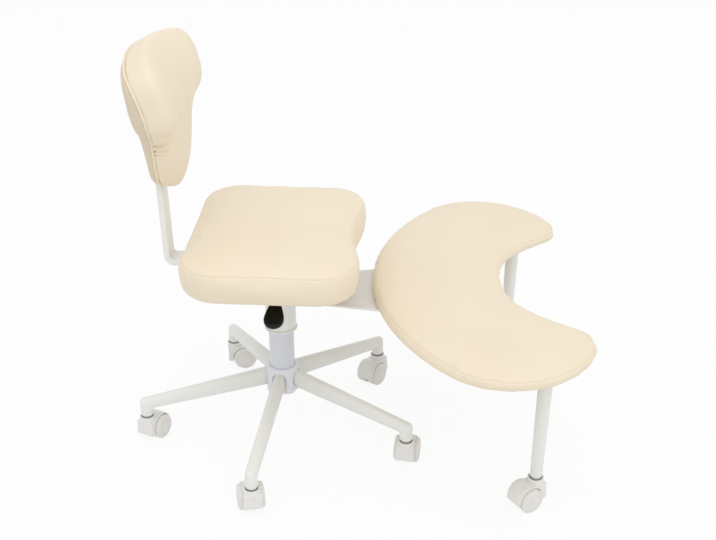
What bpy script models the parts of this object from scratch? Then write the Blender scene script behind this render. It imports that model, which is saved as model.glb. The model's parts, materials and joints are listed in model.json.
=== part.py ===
import math

import bmesh
import bpy
from mathutils import Matrix, Vector

# Sizes are metres. The floor is z = 0, the seat faces +X, the sitter's left is +Y.

# Clearances
FIT = 0.0003
WHEEL_PLAY = 0.0005
HOOD_GAP = 0.0008
COLLAR_GAP = 0.0013
COVER_GAP = 0.0015
SOCKET_GAP = 0.004
LEVER_PLAY = 0.001
CUT_SPARE = 0.01

# Facets round a full turn, and the angle above which an edge stays sharp
COLUMN_SIDES = 32
ROD_SIDES = 16
PIN_SIDES = 12
SHARP_EDGE = math.radians(35)
MERGE = 0.000001

# Place of the column, so that the whole chair is centred on the origin
COLUMN_X = -0.1375

# Casters
CASTER_TRAIL = 0.0225
WHEEL_R = 0.025
WHEEL_WIDTH = 0.0225
WHEEL_EDGE = 0.003
WHEEL_DOME = 0.0012
WHEEL_SIDES = 24
AXLE_R = 0.0035
AXLE_SEAT = 0.012
WEB_HALF = 0.003
HOOD_HALF_WIDTH = 0.0195
HOOD_TAPER = 0.16
HOOD_WALL = 0.0026
HOOD_FRONT = 0.0145
HOOD_FOOT = 0.020
HOOD_REAR_ANGLE = math.radians(-12)
HOOD_TOP_ANGLE = math.radians(108)
WEB_FOOT = 0.016
HOOD_ARCH_STEPS = 7
BOSS_R = 0.0155
BOSS_DEPTH = 0.016
BOSS_RIM = 0.005
STEM_SEAT = 0.0564
COLLAR_R = 0.0112
COLLAR_HEIGHT = 0.009
STEM_R = 0.0055
STEM_LENGTH = 0.022
STEM_CHAMFER = 0.001
JOURNAL_R = 0.005
JOURNAL_LENGTH = 0.0095

# Five-star base
LEG_COUNT = 5
LEG_REACH = 0.28
LEG_ROOT_R = 0.0168
LEG_TIP_R = 0.0125
LEG_SLOPE = math.radians(10)
LEG_STRAIGHT = 0.0248
ELBOW_OUTER = 0.0075
ELBOW_INNER = 0.002
ELBOW_STEPS = 2
FIRST_LEG = math.radians(188.7)
HUB_WALL = 0.0065
HUB_BELOW = 0.030
HUB_ABOVE = 0.0075
COVER_WALL = 0.002
COVER_RISE = 0.027
COVER_DROP = 0.028
COVER_STEPS = 6
SLOT_STEPS = 8
SKIRT_R = 0.036

# Gas lift
GAS_TUBE_R = 0.025
GAS_TUBE_WALL = 0.002
TUBE_FLOOR = 0.003
TUBE_BELOW_HUB = 0.004
TUBE_ABOVE_ARM = 0.0085
GUIDE_LENGTH = 0.055
GUIDE_FLANGE = 0.003
CYLINDER_R = 0.014
CYLINDER_WALL = 0.0025
CYLINDER_STAND = 0.012
CYLINDER_HEAD = 0.03
PISTON_ROD_R = 0.005
PISTON_HEIGHT = 0.008
PISTON_SPARE = 0.004
CLIP_R = 0.010
CLIP_HEIGHT = 0.002
ROD_END = 0.003
BUTTON_R = 0.0075
BUTTON_STAND = 0.0057
BUTTON_DEPTH = 0.006
BUTTON_TRAVEL = 0.0036

# Footrest arm, sleeve and legs
ARM_TOP = 0.334
ARM_THICKNESS = 0.005
ARM_END_R = 0.045
ARM_FRONT = 0.33
ARM_FRONT_HALF = 0.106
ARM_CORNER = 0.02
ARM_END_STEPS = 14
ARM_CORNER_STEPS = 4
ARM_EDGE = 0.0008
LINER_WALL = 0.0022
SLEEVE_WALL = 0.0022
SLEEVE_LENGTH = 0.077
STOP_COLLAR_HEIGHT = 0.005
STOP_COLLAR_LIP = 0.0025
STOOL_LEG_X = 0.49
STOOL_LEG_INSET = 0.134
STOOL_LEG_TOP_R = 0.014
STOOL_LEG_FOOT_R = 0.0115
STOOL_FLANGE_R = 0.03
STOOL_FLANGE_HEIGHT = 0.003

# Footrest crescent
STOOL_REAR = 0.183
STOOL_REAR_R = 0.482
STOOL_HALF_WIDTH = 0.377
STOOL_LOBE_R = 0.155
NOTCH_BOTTOM = 0.430
NOTCH_BEND = 9.0
NOTCH_POWER = 2.6
NOTCH_CORNER = 0.035
STOOL_BOARD = 0.009
STOOL_BOARD_INSET = 0.026
STOOL_SIDE = 0.0225
STOOL_TUCK = 0.009
STOOL_TIP_TUCK = 0.022
STOOL_TUCK_START = 0.28
STOOL_CROWN = 0.012
STOOL_CROWN_POWER = 0.6
STOOL_SECTIONS = 32
STOOL_ARC_STEPS = 24
STOOL_BEND_STEPS = 12
MEET_ROUNDS = 40
STOOL_STRIPS = 6

# Seat
SEAT_YAW = math.radians(-3.5)
SEAT_FRONT = 0.159
SEAT_REAR = 0.163
SEAT_HALF_WIDTH = 0.203
SEAT_FRONT_CORNER = 0.073
SEAT_REAR_CORNER = 0.075
SEAT_NOTCH = 0.015
SEAT_NOTCH_HALF = 0.115
SEAT_SIDE = 0.064
SEAT_TUCK = 0.019
SEAT_CROWN = 0.013
SEAT_CROWN_REACH = 0.11
SEAT_CORNER_STEPS = 6
SEAT_FRONT_STEPS = 12
SEAT_REAR_STEPS = 6
SEAT_BOARD = 0.012
SEAT_BOARD_INSET = 0.024
TRAY_HALF_LENGTH = 0.08
TRAY_HALF_WIDTH = 0.07
TRAY_DEPTH = 0.037
TRAY_SHEET = 0.003
TRAY_RIM = 0.022
TRAY_DRAFT = 0.008
TRAY_CORNER = 0.014
TRAY_CORNER_STEPS = 3
SOCKET_WALL = 0.004
SOCKET_DROP = 0.016
SOCKET_RISE = 0.013

# Sides and tops of the cushions, as shares of the tuck and of the side, and of the way to the middle
CUSHION_SIDE = ((1.0, 0.0), (0.58, 0.07), (0.23, 0.25), (0.05, 0.5), (0.0, 0.75), (0.12, 0.93), (0.5, 1.0))
CROWN_RINGS = (0.9, 0.74, 0.52, 0.3, 0.1)
CAP_RINGS = (0.1, 0.4, 0.7)

# Back bar and backrest
BAR_WIDTH = 0.044
BAR_THICKNESS = 0.0115
BAR_EDGE = 0.002
BAR_REACH = 0.2110
BAR_LEAN = math.radians(1.2)
BAR_BEND = 0.008
BAR_BEND_STEPS = 6
BAR_TRAY_GAP = 0.003
BAR_RISE = 0.085
BACK_ABOVE_TRAY = 0.1527
BACK_HEIGHT = 0.2645
BACK_TOP_LEAN = math.radians(21.5)
BACK_BEND_FOOT = 0.093
BACK_BEND_LENGTH = 0.12
BACK_WRAP_R = 0.48
BACK_FOOT_SAG = 0.006
BACK_FOOT_HALF = 0.049
BACK_FOOT_RISE = 0.012
BACK_STEM_HALF = 0.08
BACK_STEM_RISE = 0.056
BACK_WAIST_HALF = 0.104
BACK_WAIST_RISE = 0.117
BACK_WING_FOOT_HALF = 0.145
BACK_WING_FOOT = 0.140
BACK_WING_HALF = 0.154
BACK_WING_RISE = 0.178
BACK_UPPER_HALF = 0.152
BACK_UPPER_RISE = 0.213
BACK_SHOULDER_HALF = 0.123
BACK_SHOULDER_RISE = 0.241
BACK_POINTS = 24
SPLINE_STEPS = 10
PANEL_THICKNESS = 0.0165
PANEL_RIM = 0.004
PANEL_LIP = 0.001
PANEL_SWELL = 0.42
PANEL_TAPER = 0.6
BACK_SIDE = 0.0325
BACK_HEAD_SIDE = 0.043
BACK_HEAD_STEP = 0.03
BACK_TUCK = 0.003
BACK_TOP_DROP = 0.0075
BACK_CROWN = 0.019
BACK_CROWN_REACH = 0.07

# Height lever
LEVER_X = 0.008
LEVER_DROP = 0.0075
LEVER_ROD_R = 0.0035
LEVER_ROD_RESOLUTION = 3
LEVER_OVERREACH = 0.004
LEVER_STRAIGHT = 0.012
LEVER_SLOPE = math.radians(22)
LEVER_LENGTH = 0.128
LEVER_SEAT = 0.035
KNOB_LENGTH = 0.074
KNOB_R = 0.0188
KNOB_NECK = 0.0075
KNOB_THICKNESS = 0.0115
KNOB_EDGE = 0.0035
KNOB_STEPS = 8

# Places that follow from the sizes above
AXLE_Z = WHEEL_R
BACK_BEND_R = BACK_BEND_LENGTH / (BACK_TOP_LEAN - BAR_LEAN)
WHEEL_CORNER_R = WHEEL_R / math.cos(math.pi / WHEEL_SIDES)
LEG_FOOT = STEM_SEAT + FIT + COLLAR_HEIGHT + FIT
HUB_BORE = GAS_TUBE_R + FIT
HUB_R = HUB_BORE + HUB_WALL
ELBOW_Z = LEG_FOOT + LEG_STRAIGHT
LEG_ROOT_Z = ELBOW_Z + (LEG_REACH - HUB_R) * math.tan(LEG_SLOPE)
HUB_FOOT = LEG_ROOT_Z - HUB_BELOW
HUB_TOP = LEG_ROOT_Z + HUB_ABOVE
TUBE_FOOT = HUB_FOOT - TUBE_BELOW_HUB
TUBE_TOP = ARM_TOP + TUBE_ABOVE_ARM
GUIDE_TOP = TUBE_TOP + FIT + GUIDE_FLANGE
ARM_FOOT = ARM_TOP - ARM_THICKNESS
SLEEVE_TOP = ARM_FOOT - FIT
SLEEVE_FOOT = SLEEVE_TOP - SLEEVE_LENGTH
LINER_BORE = GAS_TUBE_R + FIT
LINER_R = LINER_BORE + LINER_WALL
SLEEVE_BORE = LINER_R + FIT
SLEEVE_R = SLEEVE_BORE + SLEEVE_WALL
STOOL_FOOT = ARM_TOP + FIT
STOOL_SEAM = STOOL_FOOT + STOOL_SIDE
STOOL_LEG_Y = STOOL_HALF_WIDTH - STOOL_LEG_INSET
SOCKET_FOOT = GUIDE_TOP + SOCKET_GAP
TRAY_FOOT = SOCKET_FOOT + SOCKET_DROP
TRAY_TOP = TRAY_FOOT + TRAY_DEPTH
SEAT_FOOT = TRAY_TOP + FIT
SEAT_SEAM = SEAT_FOOT + SEAT_SIDE
BAR_TOP = TRAY_TOP - TRAY_SHEET - FIT
BACK_FOOT = TRAY_TOP + BACK_ABOVE_TRAY
LEVER_Z = TRAY_TOP - LEVER_DROP
TRAY_WALL_Y = TRAY_HALF_WIDTH - TRAY_RIM - TRAY_SHEET / 2
BUTTON_TOP = LEVER_Z - LEVER_ROD_R - FIT
CYLINDER_TOP = BUTTON_TOP - BUTTON_STAND
CYLINDER_FOOT = TUBE_FOOT + TUBE_FLOOR + CYLINDER_STAND

# Where each caster trails at rest: five on the base, then the two under the footrest
BASE_CASTER_YAWS = [math.radians(angle) for angle in (64, 103, 79, 237, 7)]
STOOL_CASTER_YAWS = {"left": math.radians(200), "right": math.radians(212)}


for obj in list(bpy.data.objects):
    bpy.data.objects.remove(obj)

chair = bpy.data.collections.new("cross_legged_office_chair")
bpy.context.scene.collection.children.link(chair)
cutters = bpy.data.collections.new("cutters")
cutters.hide_render = True
bpy.context.scene.collection.children.link(cutters)


def material(name, colour, roughness, metallic=0.0):
    made = bpy.data.materials.new(name)
    made.use_nodes = True
    shader = made.node_tree.nodes["Principled BSDF"]
    shader.inputs["Base Color"].default_value = (*colour, 1.0)
    shader.inputs["Roughness"].default_value = roughness
    shader.inputs["Metallic"].default_value = metallic
    made.diffuse_color = (*colour, 1.0)
    return made


LEATHER = material("cream_faux_leather", (0.87, 0.77, 0.60), 0.5)
PAINT = material("warm_white_painted_steel", (0.72, 0.70, 0.66), 0.4)
COOL_PAINT = material("cool_white_painted_steel", (0.74, 0.76, 0.80), 0.4)
COVER_PLASTIC = material("cool_white_plastic", (0.74, 0.76, 0.80), 0.45)
CASTER_PLASTIC = material("off_white_caster_plastic", (0.73, 0.72, 0.69), 0.45)
TREAD_PLASTIC = material("off_white_wheel_plastic", (0.73, 0.72, 0.69), 0.5)
BLACK_PLASTIC = material("black_gloss_plastic", (0.01, 0.012, 0.012), 0.25)
NYLON = material("white_nylon", (0.8, 0.8, 0.78), 0.5)
STEEL = material("bright_steel", (0.6, 0.6, 0.6), 0.3, 1.0)
CHROME = material("chromed_steel", (0.8, 0.8, 0.8), 0.1, 1.0)
PLYWOOD = material("plywood", (0.5, 0.33, 0.18), 0.7)


# Modelling helpers

def scratch(data):
    obj = bpy.data.objects.new("scratch", data)
    obj.display_type = "WIRE"
    cutters.objects.link(obj)
    return obj


def baked(obj):
    bpy.context.view_layer.update()
    graph = bpy.context.evaluated_depsgraph_get()
    mesh = bpy.data.meshes.new_from_object(obj.evaluated_get(graph))
    bpy.data.objects.remove(obj)
    work = bmesh.new()
    work.from_mesh(mesh)
    bmesh.ops.remove_doubles(work, verts=work.verts, dist=MERGE)
    bmesh.ops.recalc_face_normals(work, faces=work.faces)
    work.to_mesh(mesh)
    work.free()
    return mesh


def revolve(profile, steps, closed=False, phase=0.0):
    mesh = bpy.data.meshes.new("profile")
    count = len(profile)
    edges = [(i, i + 1) for i in range(count - 1)]
    if closed:
        edges.append((count - 1, 0))
    mesh.from_pydata([(radius, 0.0, z) for radius, z in profile], edges, [])
    obj = scratch(mesh)
    screw = obj.modifiers.new("turn", "SCREW")
    screw.axis = "Z"
    screw.steps = steps
    screw.render_steps = steps
    screw.use_merge_vertices = True
    screw.merge_threshold = MERGE
    turned = baked(obj)
    turned.transform(Matrix.Rotation(phase, 4, "Z"))
    return turned


def ring(outer, inner, foot, top, steps):
    return revolve([(outer, top), (outer, foot), (inner, foot), (inner, top)], steps, closed=True)


def plate(loop, foot, top, edge=0.0):
    curve = bpy.data.curves.new("outline", "CURVE")
    curve.dimensions = "2D"
    curve.fill_mode = "BOTH"
    curve.extrude = (top - foot) / 2 - edge
    curve.bevel_depth = edge
    curve.bevel_resolution = 1
    curve.offset = -edge
    spline = curve.splines.new("POLY")
    spline.points.add(len(loop) - 1)
    for point, (x, y) in zip(spline.points, loop):
        point.co = (x, y, 0.0, 1.0)
    spline.use_cyclic_u = True
    solid = baked(scratch(curve))
    solid.transform(Matrix.Translation((0.0, 0.0, (foot + top) / 2)))
    return solid


def bent_rod(points, radii, resolution):
    curve = bpy.data.curves.new("path", "CURVE")
    curve.dimensions = "3D"
    curve.bevel_depth = 1.0
    curve.bevel_resolution = resolution
    curve.use_fill_caps = True
    spline = curve.splines.new("POLY")
    spline.points.add(len(points) - 1)
    for point, place, radius in zip(spline.points, points, radii):
        point.co = (*place, 1.0)
        point.radius = radius
    return baked(scratch(curve))


def cylinder(radius, start, end, sides):
    start = Vector(start)
    along = Vector(end) - start
    work = bmesh.new()
    bmesh.ops.create_cone(
        work, cap_ends=True, segments=sides, radius1=radius, radius2=radius, depth=along.length
    )
    turn = along.to_track_quat("Z", "Y").to_matrix().to_4x4()
    work.transform(Matrix.Translation(start + along / 2) @ turn)
    mesh = bpy.data.meshes.new("cylinder")
    work.to_mesh(mesh)
    work.free()
    return mesh


def boolean(mesh, others, operation):
    body = scratch(mesh)
    helpers = [scratch(other) for other in others]
    for helper in helpers:
        step = body.modifiers.new(operation.lower(), "BOOLEAN")
        step.operation = operation
        step.object = helper
    result = baked(body)
    for helper in helpers:
        bpy.data.objects.remove(helper)
    return result


def cut(mesh, others):
    return boolean(mesh, others, "DIFFERENCE")


def joined(mesh, others):
    return boolean(mesh, others, "UNION")


def loft(rings, crown=None):
    # Walls between rings of equal count, flat ends, and a crown of faces over the last ring if given
    work = bmesh.new()
    rows = [[work.verts.new(point) for point in points] for points in rings]
    count = len(rows[0])
    for lower, upper in zip(rows, rows[1:]):
        for i in range(count):
            j = (i + 1) % count
            work.faces.new((lower[i], lower[j], upper[j]))
            work.faces.new((lower[i], upper[j], upper[i]))
    work.faces.new(list(reversed(rows[0])))
    if crown is None:
        work.faces.new(rows[-1])
    else:
        crown(work, rows[-1])
    bmesh.ops.remove_doubles(work, verts=work.verts, dist=MERGE)
    bmesh.ops.recalc_face_normals(work, faces=work.faces)
    mesh = bpy.data.meshes.new("loft")
    work.to_mesh(mesh)
    work.free()
    return mesh


def arc(centre, radius, start, end, steps):
    angles = [start + (end - start) * i / steps for i in range(steps + 1)]
    return [(centre[0] + radius * math.cos(a), centre[1] + radius * math.sin(a)) for a in angles]


def inset(loop, distance):
    # Moves a closed anticlockwise loop inwards, by one distance or by one for each point
    moved = []
    count = len(loop)
    for i, (x, y) in enumerate(loop):
        before = Vector(loop[i - 1])
        after = Vector(loop[(i + 1) % count])
        tangent = (after - before).normalized()
        step = distance[i] if isinstance(distance, list) else distance
        moved.append((x - tangent.y * step, y + tangent.x * step))
    return moved


def resample(points, count):
    # Evenly spaced points along an open run of points
    marks = [0.0]
    for a, b in zip(points, points[1:]):
        marks.append(marks[-1] + math.dist(a, b))
    picked = []
    k = 0
    for i in range(count):
        goal = marks[-1] * i / (count - 1)
        while k < len(marks) - 2 and marks[k + 1] < goal:
            k += 1
        share = (goal - marks[k]) / (marks[k + 1] - marks[k])
        a, b = points[k], points[k + 1]
        picked.append((a[0] + (b[0] - a[0]) * share, a[1] + (b[1] - a[1]) * share))
    return picked


def spline_value(a, b, c, d, t):
    square = 2 * a - 5 * b + 4 * c - d
    cube = 3 * b - a - 3 * c + d
    return (2 * b + (c - a) * t + square * t**2 + cube * t**3) / 2


def smooth_run(points, steps):
    # Catmull-Rom curve through the points, with mirrored neighbours past both ends
    first = (-points[1][0], points[1][1])
    last = (-points[-2][0], points[-2][1])
    padded = [first, *points, last]
    curve = []
    for p, q, r, s in zip(padded, padded[1:], padded[2:], padded[3:]):
        for i in range(steps):
            t = i / steps
            curve.append(tuple(spline_value(*ends, t) for ends in zip(p, q, r, s)))
    curve.append(points[-1])
    return curve


def spread(steps):
    # The values between -1 and 1 that part a run into equal steps
    return [2 * i / steps - 1 for i in range(1, steps)]


def rounded_rectangle(front, rear, half, front_corner, rear_corner, steps):
    quarter = math.pi / 2
    return [
        *arc((front - front_corner, half - front_corner), front_corner, 0, quarter, steps),
        *arc((-rear + rear_corner, half - rear_corner), rear_corner, quarter, 2 * quarter, steps),
        *arc((-rear + rear_corner, -half + rear_corner), rear_corner, 2 * quarter, 3 * quarter, steps),
        *arc((front - front_corner, -half + front_corner), front_corner, 3 * quarter, 4 * quarter, steps),
    ]


def raised(loop, z):
    return [(x, y, z) for x, y in loop]


def side_rings(loop, foot, height, tuck):
    # The swelling side of a cushion, drawn in at the foot and rolled over at the seam
    return [raised(inset(loop, [t * a for t in tuck]), foot + height * b) for a, b in CUSHION_SIDE]


def pillow(centre, rise, reach):
    # Rings that shrink towards a centre and rise with their distance from the edge
    def crown(work, edge):
        lower = edge
        middle = Vector((*centre, edge[0].co.z))
        for share in CROWN_RINGS:
            upper = []
            for vertex in edge:
                spot = middle.lerp(vertex.co, share)
                near = min((spot - other.co).length for other in edge)
                spot.z += rise * (1 - (1 - min(near / reach, 1.0)) ** 2)
                upper.append(work.verts.new(spot))
            for i in range(len(edge)):
                j = (i + 1) % len(edge)
                work.faces.new((lower[i], lower[j], upper[j], upper[i]))
            lower = upper
        work.faces.new(lower)

    return crown


def empty(name, parent, location=(0.0, 0.0, 0.0), rotation=(0.0, 0.0, 0.0)):
    obj = bpy.data.objects.new(name, None)
    obj.parent = parent
    obj.location = location
    obj.rotation_euler = rotation
    chair.objects.link(obj)
    return obj


def add_part(name, mesh, finish, parent, location=(0.0, 0.0, 0.0), rotation=(0.0, 0.0, 0.0)):
    mesh.materials.clear()
    mesh.materials.append(finish)
    mesh.shade_smooth()
    mesh.set_sharp_from_angle(angle=SHARP_EDGE)
    obj = bpy.data.objects.new(name, mesh)
    obj.parent = parent
    obj.location = location
    obj.rotation_euler = rotation
    chair.objects.link(obj)
    return obj


column = empty("column_axis", None, (COLUMN_X, 0.0, 0.0))


# Casters

def caster_hood():
    cavity_r = (WHEEL_CORNER_R + HOOD_GAP) / math.cos(math.pi / WHEEL_SIDES)
    arch_r = cavity_r + HOOD_WALL
    axle = (CASTER_TRAIL, AXLE_Z)
    arch = arc(axle, arch_r, HOOD_REAR_ANGLE, HOOD_TOP_ANGLE, HOOD_ARCH_STEPS)
    shoulder = arch[-1][1]
    profile = [(-HOOD_FRONT, HOOD_FOOT), (CASTER_TRAIL, WEB_FOOT), *arch, (-HOOD_FRONT, shoulder)]
    body = plate(profile, -HOOD_HALF_WIDTH, HOOD_HALF_WIDTH)
    body.transform(Matrix.Rotation(math.pi / 2, 4, "X"))
    for vertex in body.vertices:
        height = (vertex.co.z - HOOD_FOOT) / (shoulder - HOOD_FOOT)
        vertex.co.y *= 1 - HOOD_TAPER * height
    rim = STEM_SEAT + BOSS_RIM
    boss = cylinder(BOSS_R, (0, 0, rim - BOSS_DEPTH), (0, 0, rim), ROD_SIDES)
    body = joined(body, [boss])
    side = HOOD_HALF_WIDTH + CUT_SPARE
    wells = []
    for y in (-1, 1):
        start = (CASTER_TRAIL, y * WEB_HALF, AXLE_Z)
        wells.append(cylinder(cavity_r, start, (CASTER_TRAIL, y * side, AXLE_Z), WHEEL_SIDES))
    axle_hole = cylinder(
        AXLE_R + FIT, (CASTER_TRAIL, -side, AXLE_Z), (CASTER_TRAIL, side, AXLE_Z), PIN_SIDES
    )
    recess_r = COLLAR_R + COLLAR_GAP
    recess = cylinder(recess_r, (0, 0, STEM_SEAT), (0, 0, rim + CUT_SPARE), ROD_SIDES)
    bore_foot = STEM_SEAT - JOURNAL_LENGTH - FIT
    bore = cylinder(JOURNAL_R + FIT, (0, 0, bore_foot), (0, 0, rim + CUT_SPARE), PIN_SIDES)
    return cut(body, [*wells, axle_hole, recess, bore])


def caster_stem():
    collar_foot = STEM_SEAT + FIT
    collar_top = collar_foot + COLLAR_HEIGHT
    top = LEG_FOOT + STEM_LENGTH
    return revolve(
        [
            (0, top),
            (STEM_R - STEM_CHAMFER, top),
            (STEM_R, top - STEM_CHAMFER),
            (STEM_R, collar_top),
            (COLLAR_R, collar_top),
            (COLLAR_R, collar_foot),
            (JOURNAL_R, collar_foot),
            (JOURNAL_R, STEM_SEAT - JOURNAL_LENGTH),
            (0, STEM_SEAT - JOURNAL_LENGTH),
        ],
        PIN_SIDES,
    )


def caster_wheel(with_axle):
    face = WHEEL_WIDTH - WHEEL_DOME
    rim = [
        (0, WHEEL_WIDTH),
        (WHEEL_CORNER_R - WHEEL_EDGE, face),
        (WHEEL_CORNER_R, face - WHEEL_EDGE),
        (WHEEL_CORNER_R, 0),
    ]
    if with_axle:
        end = -2 * (WEB_HALF + WHEEL_PLAY) - AXLE_SEAT
        core = [(AXLE_R, 0), (AXLE_R, end), (0, end)]
    else:
        end = AXLE_SEAT + WHEEL_PLAY
        core = [(AXLE_R + FIT, 0), (AXLE_R + FIT, end), (0, end)]
    return revolve(rim + core, WHEEL_SIDES, phase=math.pi / WHEEL_SIDES)


HOOD = caster_hood()
STEM = caster_stem()
WHEEL_WITH_AXLE = caster_wheel(True)
WHEEL_PLAIN = caster_wheel(False)


def add_caster(label, parent, place, yaw):
    swivel = empty(f"caster_axis_{label}", parent, (*place, 0.0), (0.0, 0.0, yaw))
    inner = WEB_HALF + WHEEL_PLAY
    add_part(f"caster_stem_{label}", STEM, STEEL, swivel)
    add_part(f"caster_hood_{label}", HOOD, CASTER_PLASTIC, swivel)
    add_part(f"caster_wheel_left_{label}", WHEEL_WITH_AXLE, TREAD_PLASTIC, swivel,
             (CASTER_TRAIL, inner, AXLE_Z), (-math.pi / 2, 0.0, 0.0))
    add_part(f"caster_wheel_right_{label}", WHEEL_PLAIN, TREAD_PLASTIC, swivel,
             (CASTER_TRAIL, -inner, AXLE_Z), (math.pi / 2, 0.0, 0.0))


# Five-star base

def base_leg():
    # A tapered sloping tube mitred to an upright foot, each line of it eased where it turns down
    root_z = ELBOW_Z + LEG_REACH * math.tan(LEG_SLOPE)
    root_r = LEG_ROOT_R + (LEG_ROOT_R - LEG_TIP_R) * HUB_R / (LEG_REACH - HUB_R)
    mitre = math.cos(LEG_SLOPE) / (1 + math.sin(LEG_SLOPE))
    lines = []
    for i in range(ROD_SIDES):
        turn = 2 * math.pi * i / ROD_SIDES
        out, y = LEG_TIP_R * math.cos(turn), LEG_TIP_R * math.sin(turn)
        root = Vector((0.0, root_r * math.sin(turn), root_z + root_r * math.cos(turn) / math.cos(LEG_SLOPE)))
        corner = Vector((LEG_REACH + out, y, ELBOW_Z + mitre * out))
        ease = ELBOW_INNER + (ELBOW_OUTER - ELBOW_INNER) * (1 + math.cos(turn)) / 2
        before = corner + (root - corner).normalized() * ease
        after = corner - Vector((0.0, 0.0, ease))
        line = [root]
        for k in range(ELBOW_STEPS + 1):
            t = k / ELBOW_STEPS
            line.append(before.lerp(corner, t).lerp(corner.lerp(after, t), t))
        lines.append([*line, Vector((LEG_REACH + out, y, LEG_FOOT))])
    leg = loft(list(zip(*lines)))
    cope = cylinder(HUB_R + FIT, (0, 0, HUB_FOOT - SKIRT_R), (0, 0, HUB_TOP + SKIRT_R), COLUMN_SIDES)
    bore_top = LEG_FOOT + STEM_LENGTH + FIT
    bore = cylinder(STEM_R + FIT, (LEG_REACH, 0, LEG_FOOT - CUT_SPARE), (LEG_REACH, 0, bore_top), PIN_SIDES)
    return cut(leg, [cope, bore])


def base_cover():
    # A domed cap round the column, its skirt slotted from below for the roots of the legs
    top = LEG_ROOT_Z + COVER_RISE
    foot = LEG_ROOT_Z - COVER_DROP
    bore = GAS_TUBE_R + FIT
    neck_r = bore + COVER_WALL
    outer = []
    for i in range(COVER_STEPS + 1):
        turn = i / COVER_STEPS * math.pi / 2
        radius = neck_r + (SKIRT_R - neck_r) * math.sin(turn)
        outer.append((radius, LEG_ROOT_Z + COVER_RISE * math.cos(turn)))
    inner = [(radius - COVER_WALL, z - COVER_WALL) for radius, z in outer[1:]]
    rim = [(SKIRT_R, foot), (SKIRT_R - COVER_WALL, foot)]
    throat = [(bore, inner[0][1]), (bore, top)]
    cover = revolve([*outer, *rim, *inner[:0:-1], *throat], COLUMN_SIDES, closed=True)
    half = LEG_ROOT_R + COVER_GAP
    near, far = SKIRT_R / 2, 2 * SKIRT_R
    low = foot - CUT_SPARE
    arch = [(half, low), *arc((0.0, LEG_ROOT_Z), half, 0, math.pi, SLOT_STEPS), (-half, low)]
    slots = []
    for i in range(LEG_COUNT):
        slot = loft([[(x, y, z + (HUB_R - x) * math.tan(LEG_SLOPE)) for y, z in arch] for x in (near, far)])
        slot.transform(Matrix.Rotation(FIRST_LEG + 2 * math.pi * i / LEG_COUNT, 4, "Z"))
        slots.append(slot)
    return cut(cover, slots)


def add_base():
    hub = ring(HUB_R, HUB_BORE, HUB_FOOT, HUB_TOP, COLUMN_SIDES)
    add_part("base_hub", hub, PAINT, column)
    leg = base_leg()
    for i in range(LEG_COUNT):
        angle = FIRST_LEG + 2 * math.pi * i / LEG_COUNT
        label = str(i + 1)
        add_part(f"base_leg_{label}", leg, PAINT, column, rotation=(0.0, 0.0, angle))
        place = (LEG_REACH * math.cos(angle), LEG_REACH * math.sin(angle))
        add_caster(label, column, place, BASE_CASTER_YAWS[i])
    add_part("base_cover", base_cover(), COVER_PLASTIC, column)


# Gas lift

def add_gas_lift():
    inside = GAS_TUBE_R - GAS_TUBE_WALL
    floor_top = TUBE_FOOT + TUBE_FLOOR
    rod_hole = PISTON_ROD_R + FIT
    tube = [
        (GAS_TUBE_R, TUBE_TOP),
        (GAS_TUBE_R, TUBE_FOOT),
        (rod_hole, TUBE_FOOT),
        (rod_hole, floor_top),
        (inside, floor_top),
        (inside, TUBE_TOP),
    ]
    add_part("gas_lift_outer_tube", revolve(tube, COLUMN_SIDES, closed=True), COOL_PAINT, column)
    guide_r = inside - FIT
    flange_foot = TUBE_TOP + FIT
    guide = [
        (GAS_TUBE_R, GUIDE_TOP),
        (GAS_TUBE_R, flange_foot),
        (guide_r, flange_foot),
        (guide_r, TUBE_TOP - GUIDE_LENGTH),
        (CYLINDER_R + FIT, TUBE_TOP - GUIDE_LENGTH),
        (CYLINDER_R + FIT, GUIDE_TOP),
    ]
    add_part("gas_lift_guide_bush", revolve(guide, COLUMN_SIDES, closed=True), NYLON, column)
    bore = CYLINDER_R - CYLINDER_WALL
    ceiling = CYLINDER_TOP - CYLINDER_HEAD
    button_foot = CYLINDER_TOP - BUTTON_DEPTH
    hole_foot = button_foot - BUTTON_TRAVEL - FIT
    pressure_tube = [
        (0, hole_foot),
        (BUTTON_R + FIT, hole_foot),
        (BUTTON_R + FIT, CYLINDER_TOP),
        (CYLINDER_R, CYLINDER_TOP),
        (CYLINDER_R, CYLINDER_FOOT),
        (bore, CYLINDER_FOOT),
        (bore, ceiling),
        (0, ceiling),
    ]
    add_part("gas_lift_cylinder", revolve(pressure_tube, COLUMN_SIDES), CHROME, column)
    rod_top = ceiling - PISTON_SPARE
    rod_foot = TUBE_FOOT - FIT - CLIP_HEIGHT - ROD_END
    piston = [
        (0, rod_top),
        (bore - FIT, rod_top),
        (bore - FIT, rod_top - PISTON_HEIGHT),
        (PISTON_ROD_R, rod_top - PISTON_HEIGHT),
        (PISTON_ROD_R, rod_foot),
        (0, rod_foot),
    ]
    add_part("gas_lift_piston_rod", revolve(piston, ROD_SIDES), STEEL, column)
    clip_top = TUBE_FOOT - FIT
    clip = ring(CLIP_R, PISTON_ROD_R + FIT, clip_top - CLIP_HEIGHT, clip_top, ROD_SIDES)
    add_part("gas_lift_clip", clip, STEEL, column)
    button = cylinder(BUTTON_R, (0, 0, button_foot), (0, 0, BUTTON_TOP), ROD_SIDES)
    add_part("release_button", button, STEEL, column)


# Footrest

def notch_x(y):
    return NOTCH_BOTTOM + NOTCH_BEND * abs(y) ** NOTCH_POWER


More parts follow.
